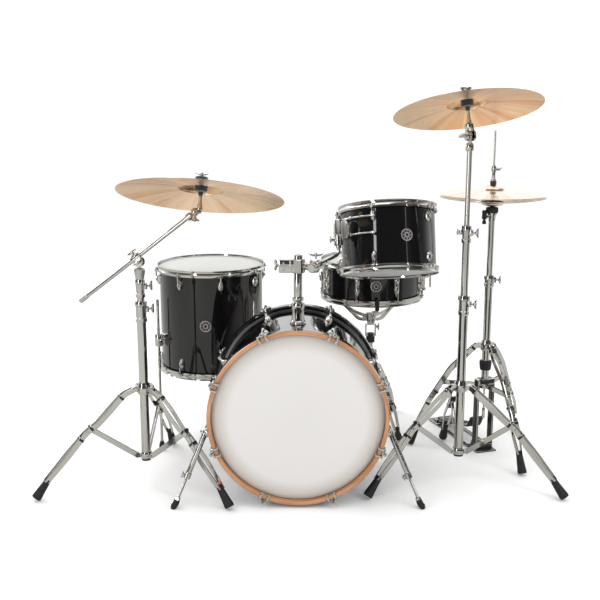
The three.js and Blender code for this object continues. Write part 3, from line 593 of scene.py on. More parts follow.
def drumParts(drum, bare=False):
    place = drumFrame(drum)
    radius, depth, wall = drum["radius"], drum["depth"], hoopShape["wall"]
    name, node = drum["name"], drum["node"]
    form = bmesh.new()
    lathe(form, [(radius, 1.5), (radius, depth / 2), (radius, depth - 1.5), (radius - 0.6, depth - 0.5),
                 (radius - 3, depth), (radius - wall, depth - 4), (radius - wall, 4), (radius - 3, 0),
                 (radius - 0.6, 0.5), (radius, 1.5)], Matrix(), 112, [0, 0, 0, 1, 1, 1, 1, 1, 0])
    makePiece(name + "Shell", form, place, [lacquer, innerPly], drum["body"], [node + "_shell"],
              30)
    form = bmesh.new()
    half = drum["lugLength"] / 2
    heights = [depth / 2] if drum["lugLength"] > 60 else [
        depth - drum["lugFromEdge"] - half, drum["lugFromEdge"] + half]
    out = hoopShape["rodOut"]
    for i in range(drum["lugs"]):
        spin = turn(drum["firstLug"] + 360 / drum["lugs"] * i, "Z")
        for height in heights:
            drumLug(form, spin @ move(radius, 0, height), drum["lugLength"])
        line = spin @ move(radius + out, 0, 0)
        keyRod(form, line, depth + hoopShape["low"] + 4, heights[0] + half * 0.6)
        keyRod(form, line, -hoopShape["low"] - 4, heights[-1] - half * 0.6)
    makePiece(name + "Lugs", form, place, [chrome], drum["body"])
    drumHoop(drum, place, name + "TopHoop", node + "_top_hoop", False)
    drumHoop(drum, place, name + "BottomHoop", node + "_bottom_hoop", True)
    drumHead(drum, place, name + "TopHead", node + "_top_head", False, drumFilm)
    if not bare:
        drumHead(drum, place, name + "BottomHead", node + "_bottom_head", True, drumFilm)
    form = bmesh.new()
    azimuth, share = drum["badge"]
    ventBadge(form, turn(azimuth, "Z") @ move(radius + 0.6, 0, depth * share) @ turn(90, "Y"))
    makePiece(name + "Badge", form, place, [castGrey, blackSteel, redEnamel], drum["body"])
    return place


rackTomPlace = drumParts(rackTom)
drumParts(floorTom)
snarePlace = drumParts(snare, bare=True)
print("drums made")


# Bass drum: its own Z runs back along the drum and its own X points up.
bass = {"radius": 10 * inch, "length": 385, "hoopWidth": 38, "hoopWall": 12, "headSet": 18, "spurSet": 60,
        "claws": 8, "firstClaw": 22.5, "postBack": 170, "postRadius": 13}
hoopLow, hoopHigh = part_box("bass_drum_front_hoop")
bassPlace = basis(((hoopLow.x + hoopHigh.x) / 2, hoopLow.y, (hoopLow.z + hoopHigh.z) / 2),
                  (0, 0, 1), (1, 0, 0), (0, 1, 0))


def bassEnd(name, nodes, flip):
    radius, inner = bass["radius"], bass["radius"] + 5
    outer, width = inner + bass["hoopWall"], bass["hoopWidth"]
    form = bmesh.new()
    lathe(form, [(inner, 2), (inner + 2, 0.2), (outer - 4, 0), (outer - 1.4, 1.2), (outer - 0.2, 3.6),
                 (outer, 6),
                 (outer, width - 6), (outer - 0.2, width - 3.6), (outer - 1.4, width - 1.4),
                 (outer - 4, width),
                 (inner + 2, width), (inner, width - 2), (inner, 2)], flip, 144,
                 [0, 0, 0, 0, 1, 1, 1, 1, 1, 1, 1, 0])
    makePiece(name + "Hoop", form, bassPlace, [maple, lacquer], "kit_base", [nodes[0]], 28, True)
    form = bmesh.new()
    face = bass["headSet"]
    lathe(form, [(0, face), (radius * 0.5, face), (radius - 12, face), (radius - 5, face + 0.1),
                 (radius - 1, face + 0.7), (radius + 3.4, face + 2.6), (radius + 3.6, face + 10),
                 (radius + 1.6, face + 10), (radius + 1.4, face + 3.6), (radius - 1, face + 1.8),
                 (radius - 12, face + 1.3), (0, face + 1.3)], flip, 144)
    lathe(form, [(radius + 0.8, face + 8), (radius + 4.4, face + 8), (radius + 4.4, face + 13.6),
                 (radius + 0.8, face + 13.6), (radius + 0.8, face + 8)], flip, 144, 1)
    makePiece(name + "Head", form, bassPlace, [bassFilm, satin], "kit_base", [nodes[1]], 50,
              True)


def bassClaw(form, place):
    # local X out from the drum, Z back along it; the claw hooks over the hoop's edge with two prongs
    radius = bass["radius"]
    outer, rodLine = radius + 5 + bass["hoopWall"], radius + 25
    softBox(form, (5, 34, 20), place @ move(outer + 3, 0, 14), 1.8)
    softBox(form, (9, 15, 30), place @ move(outer + 5.6, 0, 20), 3)
    for side in (-1, 1):
        hook = place @ move(0, side * 11.5, 0)
        softBox(form, (18, 8, 4.6), hook @ move(outer - 6.6, 0, -2.8), 1.6)
        softBox(form, (5, 8, 14), hook @ move(outer - 14.6, 0, 3.4), 1.4)
        pebble(form, (6, 4.6, 4.4), hook @ move(outer + 1, 0, -1.6))
    rod(form, (rodLine, 0, -6), (rodLine, 0, 80), 3, place, 12)
    lathe(form, [(0, -7), (5.5, -7), (6, -5.6), (6, 2), (5, 4), (0, 4)], place @ move(rodLine, 0, 0), 20)
    softBox(form, (5, 5, 8), place @ move(rodLine, 0, -10), 0.6)
    drumLug(form, place @ move(radius, 0, 97), 46, 17, 25)
    lathe(form, [(0, 66), (4.6, 66), (5.4, 68), (5.6, 84), (0, 84)], place @ move(rodLine - 4, 0, 0), 20)


def bassDrum():
    radius, length = bass["radius"], bass["length"]
    away = move(0, 0, length) @ turn(180, "X")
    bassEnd("bassFront", ("bass_drum_front_hoop", "bass_drum_front_head"), Matrix())
    bassEnd("bassBatter", ("bass_drum_batter_hoop", "bass_drum_batter_head"), away)
    low, high = bass["headSet"] + 2, length - bass["headSet"] - 2
    wall = hoopShape["wall"]
    form = bmesh.new()
    lathe(form, [(radius, low), (radius, length / 2), (radius, high), (radius - 3, high + 0.4),
                 (radius - wall, high - 3), (radius - wall, low + 3), (radius - 3, low - 0.4), (radius, low)],
          Matrix(), 144, [0, 0, 1, 1, 1, 1, 1])
    makePiece("bassShell", form, bassPlace, [lacquer, innerPly], "kit_base", ["bass_drum_shell"])
    form = bmesh.new()
    for i in range(bass["claws"]):
        spin = turn(bass["firstClaw"] + 360 / bass["claws"] * i, "Z")
        bassClaw(form, spin)
        bassClaw(form, away @ spin)
    makePiece("bassClawsAndLugs", form, bassPlace, [chrome], "kit_base")
    form = bmesh.new()
    upAxis = move(radius, 0, bass["postBack"]) @ turn(90, "Y")
    outerPost = bass["postRadius"] + 0.6
    plate(form, [(32 * math.cos(a) * (1 if abs(math.cos(a)) < 0.7 else 0.92), 25 * math.sin(a))
                 for a in [math.pi * k / 16 for k in range(32)]], 4, upAxis @ move(0, 0, 1.6), 0, 1.2)
    lathe(form, [(outerPost, 2), (24, 2), (23, 6), (19.5, 10), (18.5, 44), (19.8, 46), (19.8, 62), (18, 65),
                 (outerPost, 65), (outerPost, 2)], upAxis, 40)
    softBox(form, (12, 24, 20), upAxis @ move(-24, 0, 50), 3)
    wingBolt(form, upAxis @ move(-24, -12, 50) @ turn(90, "X"), 8, 22)
    for k in range(4):
        socketNut(form, upAxis @ turn(45 + 90 * k, "Z") @ move(26, 0, 3), 3.4, 3)
    makePiece("postSocket", form, bassPlace, [chrome], "kit_base")
    form = bmesh.new()
    for side in (-1, 1):
        boss = turn(side * 102, "Z") @ move(0, 0, bass["spurSet"]) @ turn(90, "Y")
        lathe(form, [(0, radius - 2), (23, radius - 2), (23, radius + 2), (20, radius + 6), (19, radius + 13),
                     (17, radius + 14), (0, radius + 14)], boss, 40)
        for k in range(3):
            socketNut(form, boss @ turn(120 * k, "Z") @ move(20, 0, radius + 2), 3, 3)
    makePiece("spurBosses", form, bassPlace, [chrome], "kit_base")


spur = {"lean": 12, "foot": (376, -64), "bow": (14, 0, 4)}


def spurLeg(hand, side):
    pivot = Vector(joints[f"spur_{hand}_fold"]["pos_m"])
    place = Matrix.Translation(pivot)
    lean = math.radians(spur["lean"])
    outward = Vector((side * math.cos(lean), 0, -math.sin(lean)))
    low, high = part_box(f"bass_spur_{hand}")
    edge = low.x if side < 0 else high.x
    foot = Vector(((edge - pivot.x) / mm - side * 9.5, (low.y - pivot.y) / mm + 9.5, -pivot.z / mm))
    bow = Vector((side * spur["bow"][0], 0, spur["bow"][2]))

    def at(share):
        return foot * share + bow * (1 - share)

    form = bmesh.new()
    axis = outward.to_track_quat("Z", "Y").to_matrix().to_4x4()
    lathe(form, [(0, 0), (16.6, 0), (17, 1.5), (17, 7), (15, 10), (15, 17), (12, 19.6), (0, 20)], axis, 36)
    wingBolt(form, axis @ move(0, 0, 17) @ turn(60, "Z"), 8, 24)
    tube(form, [at(-0.07), at(-0.05), at(0.0), at(0.57), at(0.575), at(0.58)],
         [6.5, 8.2, 8.6, 8.6, 8.2, 6], steps=20)
    tube(form, [at(0.54), at(0.545), at(0.61), at(0.615)], [8.6, 10.6, 10.6, 9], steps=20)
    clampAxis = (at(1) - at(0)).to_track_quat("Z", "Y").to_matrix().to_4x4()
    clampAxis.translation = at(0.585)
    wingBolt(form, clampAxis @ turn(90 if side > 0 else -90, "Z") @ turn(-90, "Y") @ move(0, 0, 9), 5, 20)
    # the inner rod is threaded, so its outline ripples
    steps = [0.6 + 0.27 * k / 46 for k in range(47)]
    tube(form, [at(share) for share in steps], [4.9 if k % 2 else 4.0 for k in range(47)], steps=12)
    tube(form, [at(0.855), at(0.86), at(0.885), at(0.89)], [7, 8.6, 8.6, 7], steps=6)
    boot = [(0.885, 7.4), (0.89, 9), (0.93, 9.8), (0.955, 9.4), (0.96, 8), (0.975, 7.4)]
    tube(form, [at(share) for share, _ in boot], [radius for _, radius in boot], steps=20, paint=1)
    base = Matrix.Translation((foot.x, foot.y, foot.z))
    lathe(form, [(0, 0.4), (6.5, 0.4), (8, 2.5), (8.2, 8), (7, 14), (4, 18), (0, 18)], base, 24, 1)
    makePiece(f"bassSpur{hand.capitalize()}", form, place, [chrome, rubber], f"spur_{hand}",
              [f"bass_spur_{hand}"])


bassDrum()
spurLeg("left", -1)
spurLeg("right", 1)
print("bass drum made")


# Tom mount: post, holder, arm and the bracket on the drum
mount = {"postRadius": 13, "postLow": 520, "postHigh": 745, "holder": 712, "rodAzimuth": -148,
         "rodDistance": 196,
         "rodRadius": 6.3}
postPoint = Vector(joints["tom_holder_swivel"]["pos_m"])
postPlace = upright(postPoint.x, postPoint.y)
armStart = Vector(joints["tom_arm_turn"]["pos_m"])
tomRodPlace = rackTomPlace @ turn(mount["rodAzimuth"], "Z") @ move(mount["rodDistance"] * mm, 0, 0)
elbowPoint = tomRodPlace @ Vector((0, 0, 52 * mm))
rodTopPoint = tomRodPlace @ Vector((0, 0, 171 * mm))


def tomMount():
    radius = mount["postRadius"]
    form = bmesh.new()
    low, high = mount["postLow"], mount["postHigh"]
    lathe(form, [(radius - 2.2, low), (radius - 0.6, low), (radius, low + 1), (radius, high - 2),
                 (radius - 1.4, high), (radius - 5, high), (radius - 5.4, high - 4), (0, high - 4),
                 (0, low + 4),
                 (radius - 2.2, low)][:-1], Matrix(), 44)
    lathe(form, [(radius - 0.5, 604), (radius + 3.6, 604), (radius + 4, 605), (radius + 4, 615),
                 (radius + 3.6, 616), (radius - 0.5, 616), (radius - 0.5, 604)], Matrix(), 44)
    makePiece("tomPost", form, postPlace, [chrome], "tom_post", ["tom_post"])

    centre = upright(postPoint.x, postPoint.y, mount["holder"] * mm)
    form = bmesh.new()
    lathe(form, [(radius + 0.6, -21), (20, -21), (21.6, -19), (21.6, 19), (20, 21), (radius + 0.6, 21),
                 (radius + 0.6, -21)], Matrix(), 44)
    softBox(form, (50, 34, 40), move(-33, 0, 0), 3)
    softBox(form, (6, 37, 34), move(-22, 0, 0), 2)
    wingBolt(form, move(-57, -4, 3) @ turn(-90, "Y"), 7, 33)
    socketNut(form, move(-44, -17, 8) @ turn(90, "X"), 5, 4)
    socketNut(form, move(-44, -17, -10) @ turn(90, "X"), 4, 3)
    start = centre.inverted() @ armStart / mm
    elbow = centre.inverted() @ elbowPoint / mm
    along = (elbow - start).normalized()
    back = start - along * 34
    tube(form, [back, back + along * 1.5, start + along * 13, start + along * 15], [13, 15, 15, 13], steps=30)
    tube(form, [start - along * 12, start - along * 11, start - along * 3, start - along * 2],
         [15, 16.4, 16.4, 15], steps=30)
    rod(form, (18, 2, 0), tuple(back + along * 12), 12, steps=24)
    lathe(form, [(0, -20), (13, -20), (15, -18), (15, 16), (13, 18), (0, 18)], move(50, 2, 0), 36)
    wingBolt(form, move(54, 2, 22), 10, 44)
    makePiece("tomHolder", form, centre, [chrome], "tom_holder", ["tom_holder"])

    form = bmesh.new()
    radius = mount["rodRadius"]
    top = centre.inverted() @ rodTopPoint / mm
    begin = start - along * 10
    line = smoothLine([begin, elbow, top], 20, 8)
    tube(form, line, radius, steps=22)
    rise = (top - elbow).normalized()
    tube(form, [elbow + rise * 18, elbow + rise * 19, elbow + rise * 25, elbow + rise * 26],
         [radius, radius + 2.6, radius + 2.6, radius], steps=22)
    makePiece("tomArm", form, centre, [chrome], "tom_arm", ["tom_arm"])

    form = bmesh.new()
    bore = radius + 0.6
    lathe(form, [(bore, 79), (13.4, 79), (15, 81), (15, 157), (13.4, 160), (bore, 160), (bore, 79)],
          Matrix(), 36)
    # a rounded plate behind the clamp, carried by two rods that run round to the lugs
    outline = [(32 * math.copysign(abs(math.cos(a)) ** 0.7, math.cos(a)),
                30 * math.copysign(abs(math.sin(a)) ** 0.55, math.sin(a))) for a in
               [2 * math.pi * k / 40 for k in range(40)]]
    plate(form, outline, 9, move(-17, 0, 126) @ turn(90, "Y"), 1, 2.4)
    softBox(form, (9, 22, 66), move(-8, 0, 120), 3)
    shellAxis = -mount["rodDistance"]
    away = rackTom["radius"] + 17
    for height in (163, 110):
        path = [(shellAxis + away * math.cos(a), away * math.sin(a), height)
                for a in [math.radians(-39 + 3 * k) for k in range(27)]]
        tube(form, path, 3, steps=12)
        for side in (-1, 1):
            collar = move(shellAxis, 0, height) @ turn(side * 10, "Z") @ move(away, 0, 0) @ turn(90, "X")
            lathe(form, [(0, -4), (5, -4), (5.4, -2), (5.4, 2), (5, 4), (0, 4)], collar, 18)
            end = move(shellAxis, 0, height) @ turn(side * 37, "Z") @ move(away, 0, 0) @ turn(90, "X")
            lathe(form, [(0, -5), (4.6, -5), (5, -3), (5, 3), (4.6, 5), (0, 5)], end, 18)
            tube(form, [end @ Vector((0, 0, 0)), end @ Vector((-9, 0, 0))], 3, steps=10)
    rod(form, (8, 0, 96), (24, 0, 96), 4.5, steps=14)
    wingBolt(form, move(17, 0, 96) @ turn(90, "Y"), 8, 24)
    makePiece("tomBracket", form, tomRodPlace, [chrome, castGrey], "rack_tom", ["tom_bracket"])


tomMount()
print("tom mount made")


# Floor tom legs
legs = {"azimuths": {"left": -150, "right": -40, "rear": 90}, "rod": 4.75, "high": 542, "bracket": 400}


def floorTomLegs():
    centre = centreOf("floor_tom_top_head")
    place = upright(centre.x, centre.y)
    outside = floorTom["radius"] + 24
    brackets = bmesh.new()
    for hand, azimuth in legs["azimuths"].items():
        spin = turn(azimuth, "Z") @ move(outside, 0, 0)
        form = bmesh.new()
        lathe(form, [(0, 20), (legs["rod"], 20), (legs["rod"], legs["high"] - 2),
                     (legs["rod"] - 1.4, legs["high"]),
                     (0, legs["high"])], spin, 20)
        lathe(form, [(0, 0.2), (9.4, 0.2), (10.8, 2), (11, 7), (9.8, 9), (9.8, 11), (10.4, 13), (9, 24),
                     (6.4, 33),
                     (5, 35), (0, 35)], spin, 28, 1)
        makePiece(f"floorTomLeg{hand.capitalize()}", form, place, [chrome, rubber], f"floor_tom_leg_{hand}",
                  [f"floor_tom_leg_{hand}"])
        hold = spin @ move(0, 0, legs["bracket"])
        lathe(brackets, [(legs["rod"] + 0.5, -21), (11.6, -21), (13, -19), (13, 19), (11.6, 21),
                         (legs["rod"] + 0.5, 21), (legs["rod"] + 0.5, -21)], hold, 30)
        softBox(brackets, (16, 34, 42), hold @ move(-19, 0, 0), 4)
        softBox(brackets, (14, 18, 24), hold @ move(-10, 0, 0), 3)
        wingBolt(brackets, hold @ move(0, 11, 0) @ turn(-90, "X"), 8, 24)
        for height in (-15, 15):
            socketNut(brackets, hold @ move(-12, 11, height) @ turn(90, "Y"), 3, 2.4)
    makePiece("floorTomLegBrackets", brackets, place, [chrome], "kit_base")


floorTomLegs()
print("floor tom legs made")


# Stands
stand = {"strip": 17, "plate": 3.0, "near": 6.6, "wide": 13, "brace": 16, "bootRadius": 15}


def rubberBoot(form, end, distance, floor=0.0, place=Matrix(), paint=1):
    # a ribbed boot that carries on down the leg and swells towards the floor
    radius = stand["bootRadius"]
    slope = math.atan2(end[1] - floor, distance - end[0])
    tip = Vector((distance - radius * math.sin(slope) - 0.6, 0, floor + radius * math.cos(slope) + 0.3))
    start = Vector((end[0] - 10, 0, end[1] + 10))
    shares = [0, 0.02, 0.1, 0.12, 0.2, 0.22, 0.3, 0.32, 0.4, 0.42, 0.5, 0.52, 0.6, 0.62, 0.8, 0.93, 0.98, 1]
    widths = [0.54, 0.64, 0.69, 0.64, 0.73, 0.68, 0.77, 0.72, 0.81, 0.76, 0.85, 0.8, 0.89, 0.86, 0.95, 1,
              0.96, 0.82]
    path = [start + (tip - start) * share for share in shares]
    tube(form, path, [radius * width for width in widths], place, 26, paint)


def doubleLeg(form, line, foot, floor=0.0, place=Matrix()):
    # two strips side by side, drawn together at the ends and at the brace pivot
    tall, near, wide = stand["strip"], stand["near"], stand["wide"]
    points = [Vector(point) for point in line]
    upper = points[1] + (points[-3] - points[1]) * 0.5
    lower = points[-2] + (points[-1] - points[-2]) * 0.5
    path = points[:2] + [upper] + points[-3:-1] + [lower, points[-1]]
    gaps = [near + 1] * (len(path) - 5) + [wide, near + 3, near, wide, near + 1]
    for hand in (-1, 1):
        strip(form, [(p.x, p.y, hand * gap) for p, gap in zip(path, gaps)], tall, stand["plate"], place)
    # black pads where the strips come together
    pads = [(points[1], upper, 0.22, near + 3), (upper, points[-2], 0.82, near + 3),
            (points[-2], lower, 0.3, near + 3)]
    for a, b, share, gap in pads:
        spot = a + (b - a) * share
        lean = math.degrees(math.atan2(b.y - a.y, b.x - a.x))
        softBox(form, (10, gap * 2 + 3, tall + 1.6), place @ move(spot.x, 0, spot.y) @ turn(-lean, "Y"),
                1.6, 1)
    rivet = points[-2]
    rod(form, (rivet.x, -near - 4.4, rivet.y), (rivet.x, near + 4.4, rivet.y), 4.4, place)
    rubberBoot(form, line[-1], foot, floor, place)


def braceBar(form, start, end, place=Matrix(), aside=3.7):
    tall = stand["brace"]
    for hand in (-1, 1):
        strip(form, [(*start, hand * aside), (*end, hand * aside)], tall, 1.6, place)
    for spot in (start, end):
        rod(form, (spot[0], -aside - 3.4, spot[1]), (spot[0], aside + 3.4, spot[1]), 4.2, place)


def legTripod(form, azimuth, collar, hub, line, foot, brace, tubeRadius):
    lathe(form, [(tubeRadius, collar - 17), (tubeRadius + 5, collar - 17), (tubeRadius + 7, collar - 14),
                 (tubeRadius + 7, collar + 9), (tubeRadius + 5, collar + 13), (tubeRadius + 3, collar + 19),
                 (tubeRadius, collar + 19), (tubeRadius, collar - 17)], Matrix(), 40)
    lathe(form, [(tubeRadius, hub - 10), (tubeRadius + 4, hub - 10), (tubeRadius + 6, hub - 7),
                 (tubeRadius + 6, hub + 7), (tubeRadius + 4, hub + 10), (tubeRadius, hub + 10),
                 (tubeRadius, hub - 10)], Matrix(), 40)
    for i in range(3):
        spin = turn(azimuth + 120 * i, "Z")
        doubleLeg(form, [(tubeRadius + 4, collar)] + line, foot, 0.0, spin)
        softBox(form, (22, 9, 17), spin @ move(tubeRadius + 12, 0, collar), 2.4)
        softBox(form, (16, 6, 12), spin @ move(tubeRadius + 9, 0, hub), 2)
        braceBar(form, (tubeRadius + 12, hub), brace, spin)


def heightClamp(form, outer, inner, low, high, azimuth=0, both=False):
    # a banded collar with its ears and wing bolt; the next tube comes out of the top
    lathe(form, [(inner + 0.5, low), (outer + 2.2, low), (outer + 3.6, low + 2), (outer + 3.6, low + 12),
                 (outer + 1.6, low + 14), (outer + 1.6, high - 16), (outer + 4, high - 14),
                 (outer + 4, high - 3),
                 (outer + 2.6, high), (inner + 0.5, high), (inner + 0.5, low)], Matrix(), 40)
    middle = low + (high - low) * 0.6
    spin = turn(azimuth, "Z")
    for hand in (-1, 1):
        softBox(form, (15, 5.5, 21), spin @ turn(90, "Z") @ move(outer + 5, hand * 5, middle), 2)
    rod(form, (-9, outer + 7, middle), (10, outer + 7, middle), 3.6, spin)
    socketNut(form, spin @ move(8, outer + 7, middle) @ turn(90, "Y"), 6, 5)
    softBox(form, (12, 17, 20), spin @ move(outer + 4, 0, middle), 3)
    wingBolt(form, spin @ move(outer + 9, 0, middle) @ turn(90, "Y"), 11, 30)
    if both:
        softBox(form, (9, 16, 15), spin @ move(-outer - 6, 0, middle), 3)
        wingBolt(form, spin @ move(-outer - 9, 0, middle) @ turn(-90, "Y"), 4, 20)


def plainTube(form, outer, inner, low, high, steps=40):
    lathe(form, [(inner, low), (outer, low), (outer, high), (inner, high), (inner, low)], Matrix(), steps)


def wallPlug(form, radius, low, high, paint=0):
    lathe(form, [(0, low), (radius, low), (radius, high - 1.2), (radius - 1.2, high), (0, high)], Matrix(),
          32, paint)


# Cymbals
crash = {"radius": 9 * inch, "bell": 62, "bow": 20, "height": 42}
ride = {"radius": 10 * inch, "bell": 68, "bow": 22, "height": 45}
hat = {"radius": 7 * inch, "bell": 41, "bow": 15, "height": 30}


def cymbal(name, node, body, size, metal, flipped=False):
    radius, bell, bow, height = (size[key] for key in ("radius", "bell", "bow", "height"))
    radius -= 2.4  # the smooth rim stays inside the many-sided solid it stands for
    rim = []
    for i in range(15):
        r = radius + (bell - radius) * i / 14
        rim.append((r, bow * (1 - ((r - bell) / (radius - bell)) ** 1.7)))
    dome = []
    for i in range(1, 9):
        angle = i / 8 * math.pi / 2
        dome.append((6.2 + (bell - 6.2) * math.cos(angle), bow + (height - bow) * math.sin(angle)))
    under = rim + dome
    over = [(r, z + (0.8 if i == 0 else 1.5)) for i, (r, z) in enumerate(under)][::-1]
    form = bmesh.new()
    lathe(form, under + over + under[:1], Matrix(), 128)
    place = roundFrame(node, node == "crash_cymbal")
    if flipped:
        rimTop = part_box(node)[1].z
        place = basis((place.translation.x, place.translation.y, rimTop), (1, 0, 0), (0, -1, 0), (0, 0, -1))
    makePiece(name, form, place, [metal], body, [node], 50, node != "crash_cymbal")
    return place


def cymbalSeat(form, size, drop, place=Matrix(), feltPaint=1):
    # threaded rod with its sleeve, felts either side of the bell, and the wing nut that closes them
    height = size["height"]
    rod(form, (0, 0, -drop), (0, 0, height + 31), 3.4, place)
    lathe(form, [(0, -drop), (8, -drop), (8.6, -drop + 3), (7.6, -drop + 16), (5.4, -drop + 24),
                 (5, height - 40),
                 (0, height - 40)], place, 28)
    lathe(form, [(0, height - 42), (5.6, height - 42), (7, height - 36), (8, height - 30), (18, height - 28),
                 (19.6, height - 25), (19.6, height - 7), (18, height - 3), (0, height - 2.6)], place, 40,
                 feltPaint)
    lathe(form, [(0, height + 2), (18, height + 2), (19.6, height + 4), (19.6, height + 13),
                 (18, height + 15.4),
                 (0, height + 15.4)], place, 40, feltPaint)
    lathe(form, [(0, height + 15), (10, height + 15), (10, height + 17), (0, height + 17)], place, 28)
    wingBolt(form, place @ move(0, 0, height + 17), 6, 38)


# Crash stand
crashStand = {"azimuth": -31, "collar": 312, "hub": 94, "foot": 362, "brace": (166, 204),
              "line": [(36, 312), (66, 300), (150, 222), (184, 200), (315, 56)],
              "tiltAt": 1098, "rise": 76}
crashTilt = joints["crash_tilt"]
crashPlace = upright(crashTilt["pos_m"][0], crashTilt["pos_m"][1])


def crashStandParts():
    form = bmesh.new()
    plainTube(form, 14.3, 11.6, 100, 560)
    heightClamp(form, 14.3, 11.1, 544, 606, -30)
    wallPlug(form, 16, 78, 104, 1)
    legTripod(form, *(crashStand[key] for key in ("azimuth", "collar", "hub", "line", "foot", "brace")), 14)
    wingBolt(form, move(0, 20, 312) @ turn(-90, "X"), 9, 26)
    makePiece("crashStandBase", form, crashPlace, [chrome, rubber], "kit_base", ["crash_stand_base"])
    form = bmesh.new()
    plainTube(form, 11.1, 8.5, 380, 780)
    heightClamp(form, 11.1, 8, 772, 826, -25, True)
    makePiece("crashMiddleTube", form, crashPlace, [chrome], "crash_middle_tube", ["crash_middle_tube"])
    tilt = crashStand["tiltAt"]
    form = bmesh.new()
    lathe(form, [(0, 600), (8, 600), (8, tilt - 46), (10, tilt - 46), (12.6, tilt - 42), (13, tilt - 30),
                 (11, tilt - 24), (8, tilt - 21), (0, tilt - 21)], Matrix(), 36)
    softBox(form, (7.6, 22, 34), move(0, 0, tilt - 12), 3)
    lathe(form, [(0, -3.9), (14.4, -3.9), (15, -3), (15, 3), (14.4, 3.9), (0, 3.9)],
          move(0, 0, tilt) @ turn(90, "Y"), 36)
    makePiece("crashUpperTube", form, crashPlace, [chrome], "crash_upper_tube", ["crash_upper_tube"])
    cymbalPlace = cymbal("crashCymbal", "crash_cymbal", "crash_cymbal", crash, crashBronze)
    rise = crashStand["rise"]
    form = bmesh.new()
    cymbalSeat(form, crash, rise - 30)
    pin = move(0, 0, -rise) @ turn(90, "Y")
    for side in (-1, 1):
        lathe(form, [(0, 0), (16.4, 0), (16.4, 5), (14, 7.4), (0, 7.4)],
              move(side * 6.4, 0, -rise) @ turn(side * 90, "Y"), 36)
        softBox(form, (5.6, 17, 30), move(side * 9.2, 0, -rise + 17), 2)
    lathe(form, [(0, 20), (13, 20), (15, 23), (15, 32), (11, 37), (6, 40), (0, 40)], move(0, 0, -rise), 36)
    rod(form, (7, 0, -rise), (18, 0, -rise), 4.6)
    wingBolt(form, pin @ turn(90, "Z") @ move(0, 0, 14), 10, 34)
    socketNut(form, move(-11, 0, -rise) @ turn(-90, "Y"), 6, 6)
    makePiece("crashTilter", form, cymbalPlace, [chrome, felt], "crash_tilter", ["crash_tilter"])


crashStandParts()
print("crash stand made")


# Boom stand
boomStand = {"feet": 84, "collar": 317, "hub": 97, "legPivot": 34, "hubPivot": 25, "join": (165, 202),
             "foot": 360,
             "line": [(34, 317), (64, 306), (152, 218), (184, 199), (315, 57)], "armRise": 15,
             "tail": -232, "tip": 214}
boomTilt = joints["boom_tilt"]
boomPlace = upright(boomTilt["pos_m"][0], boomTilt["pos_m"][1])


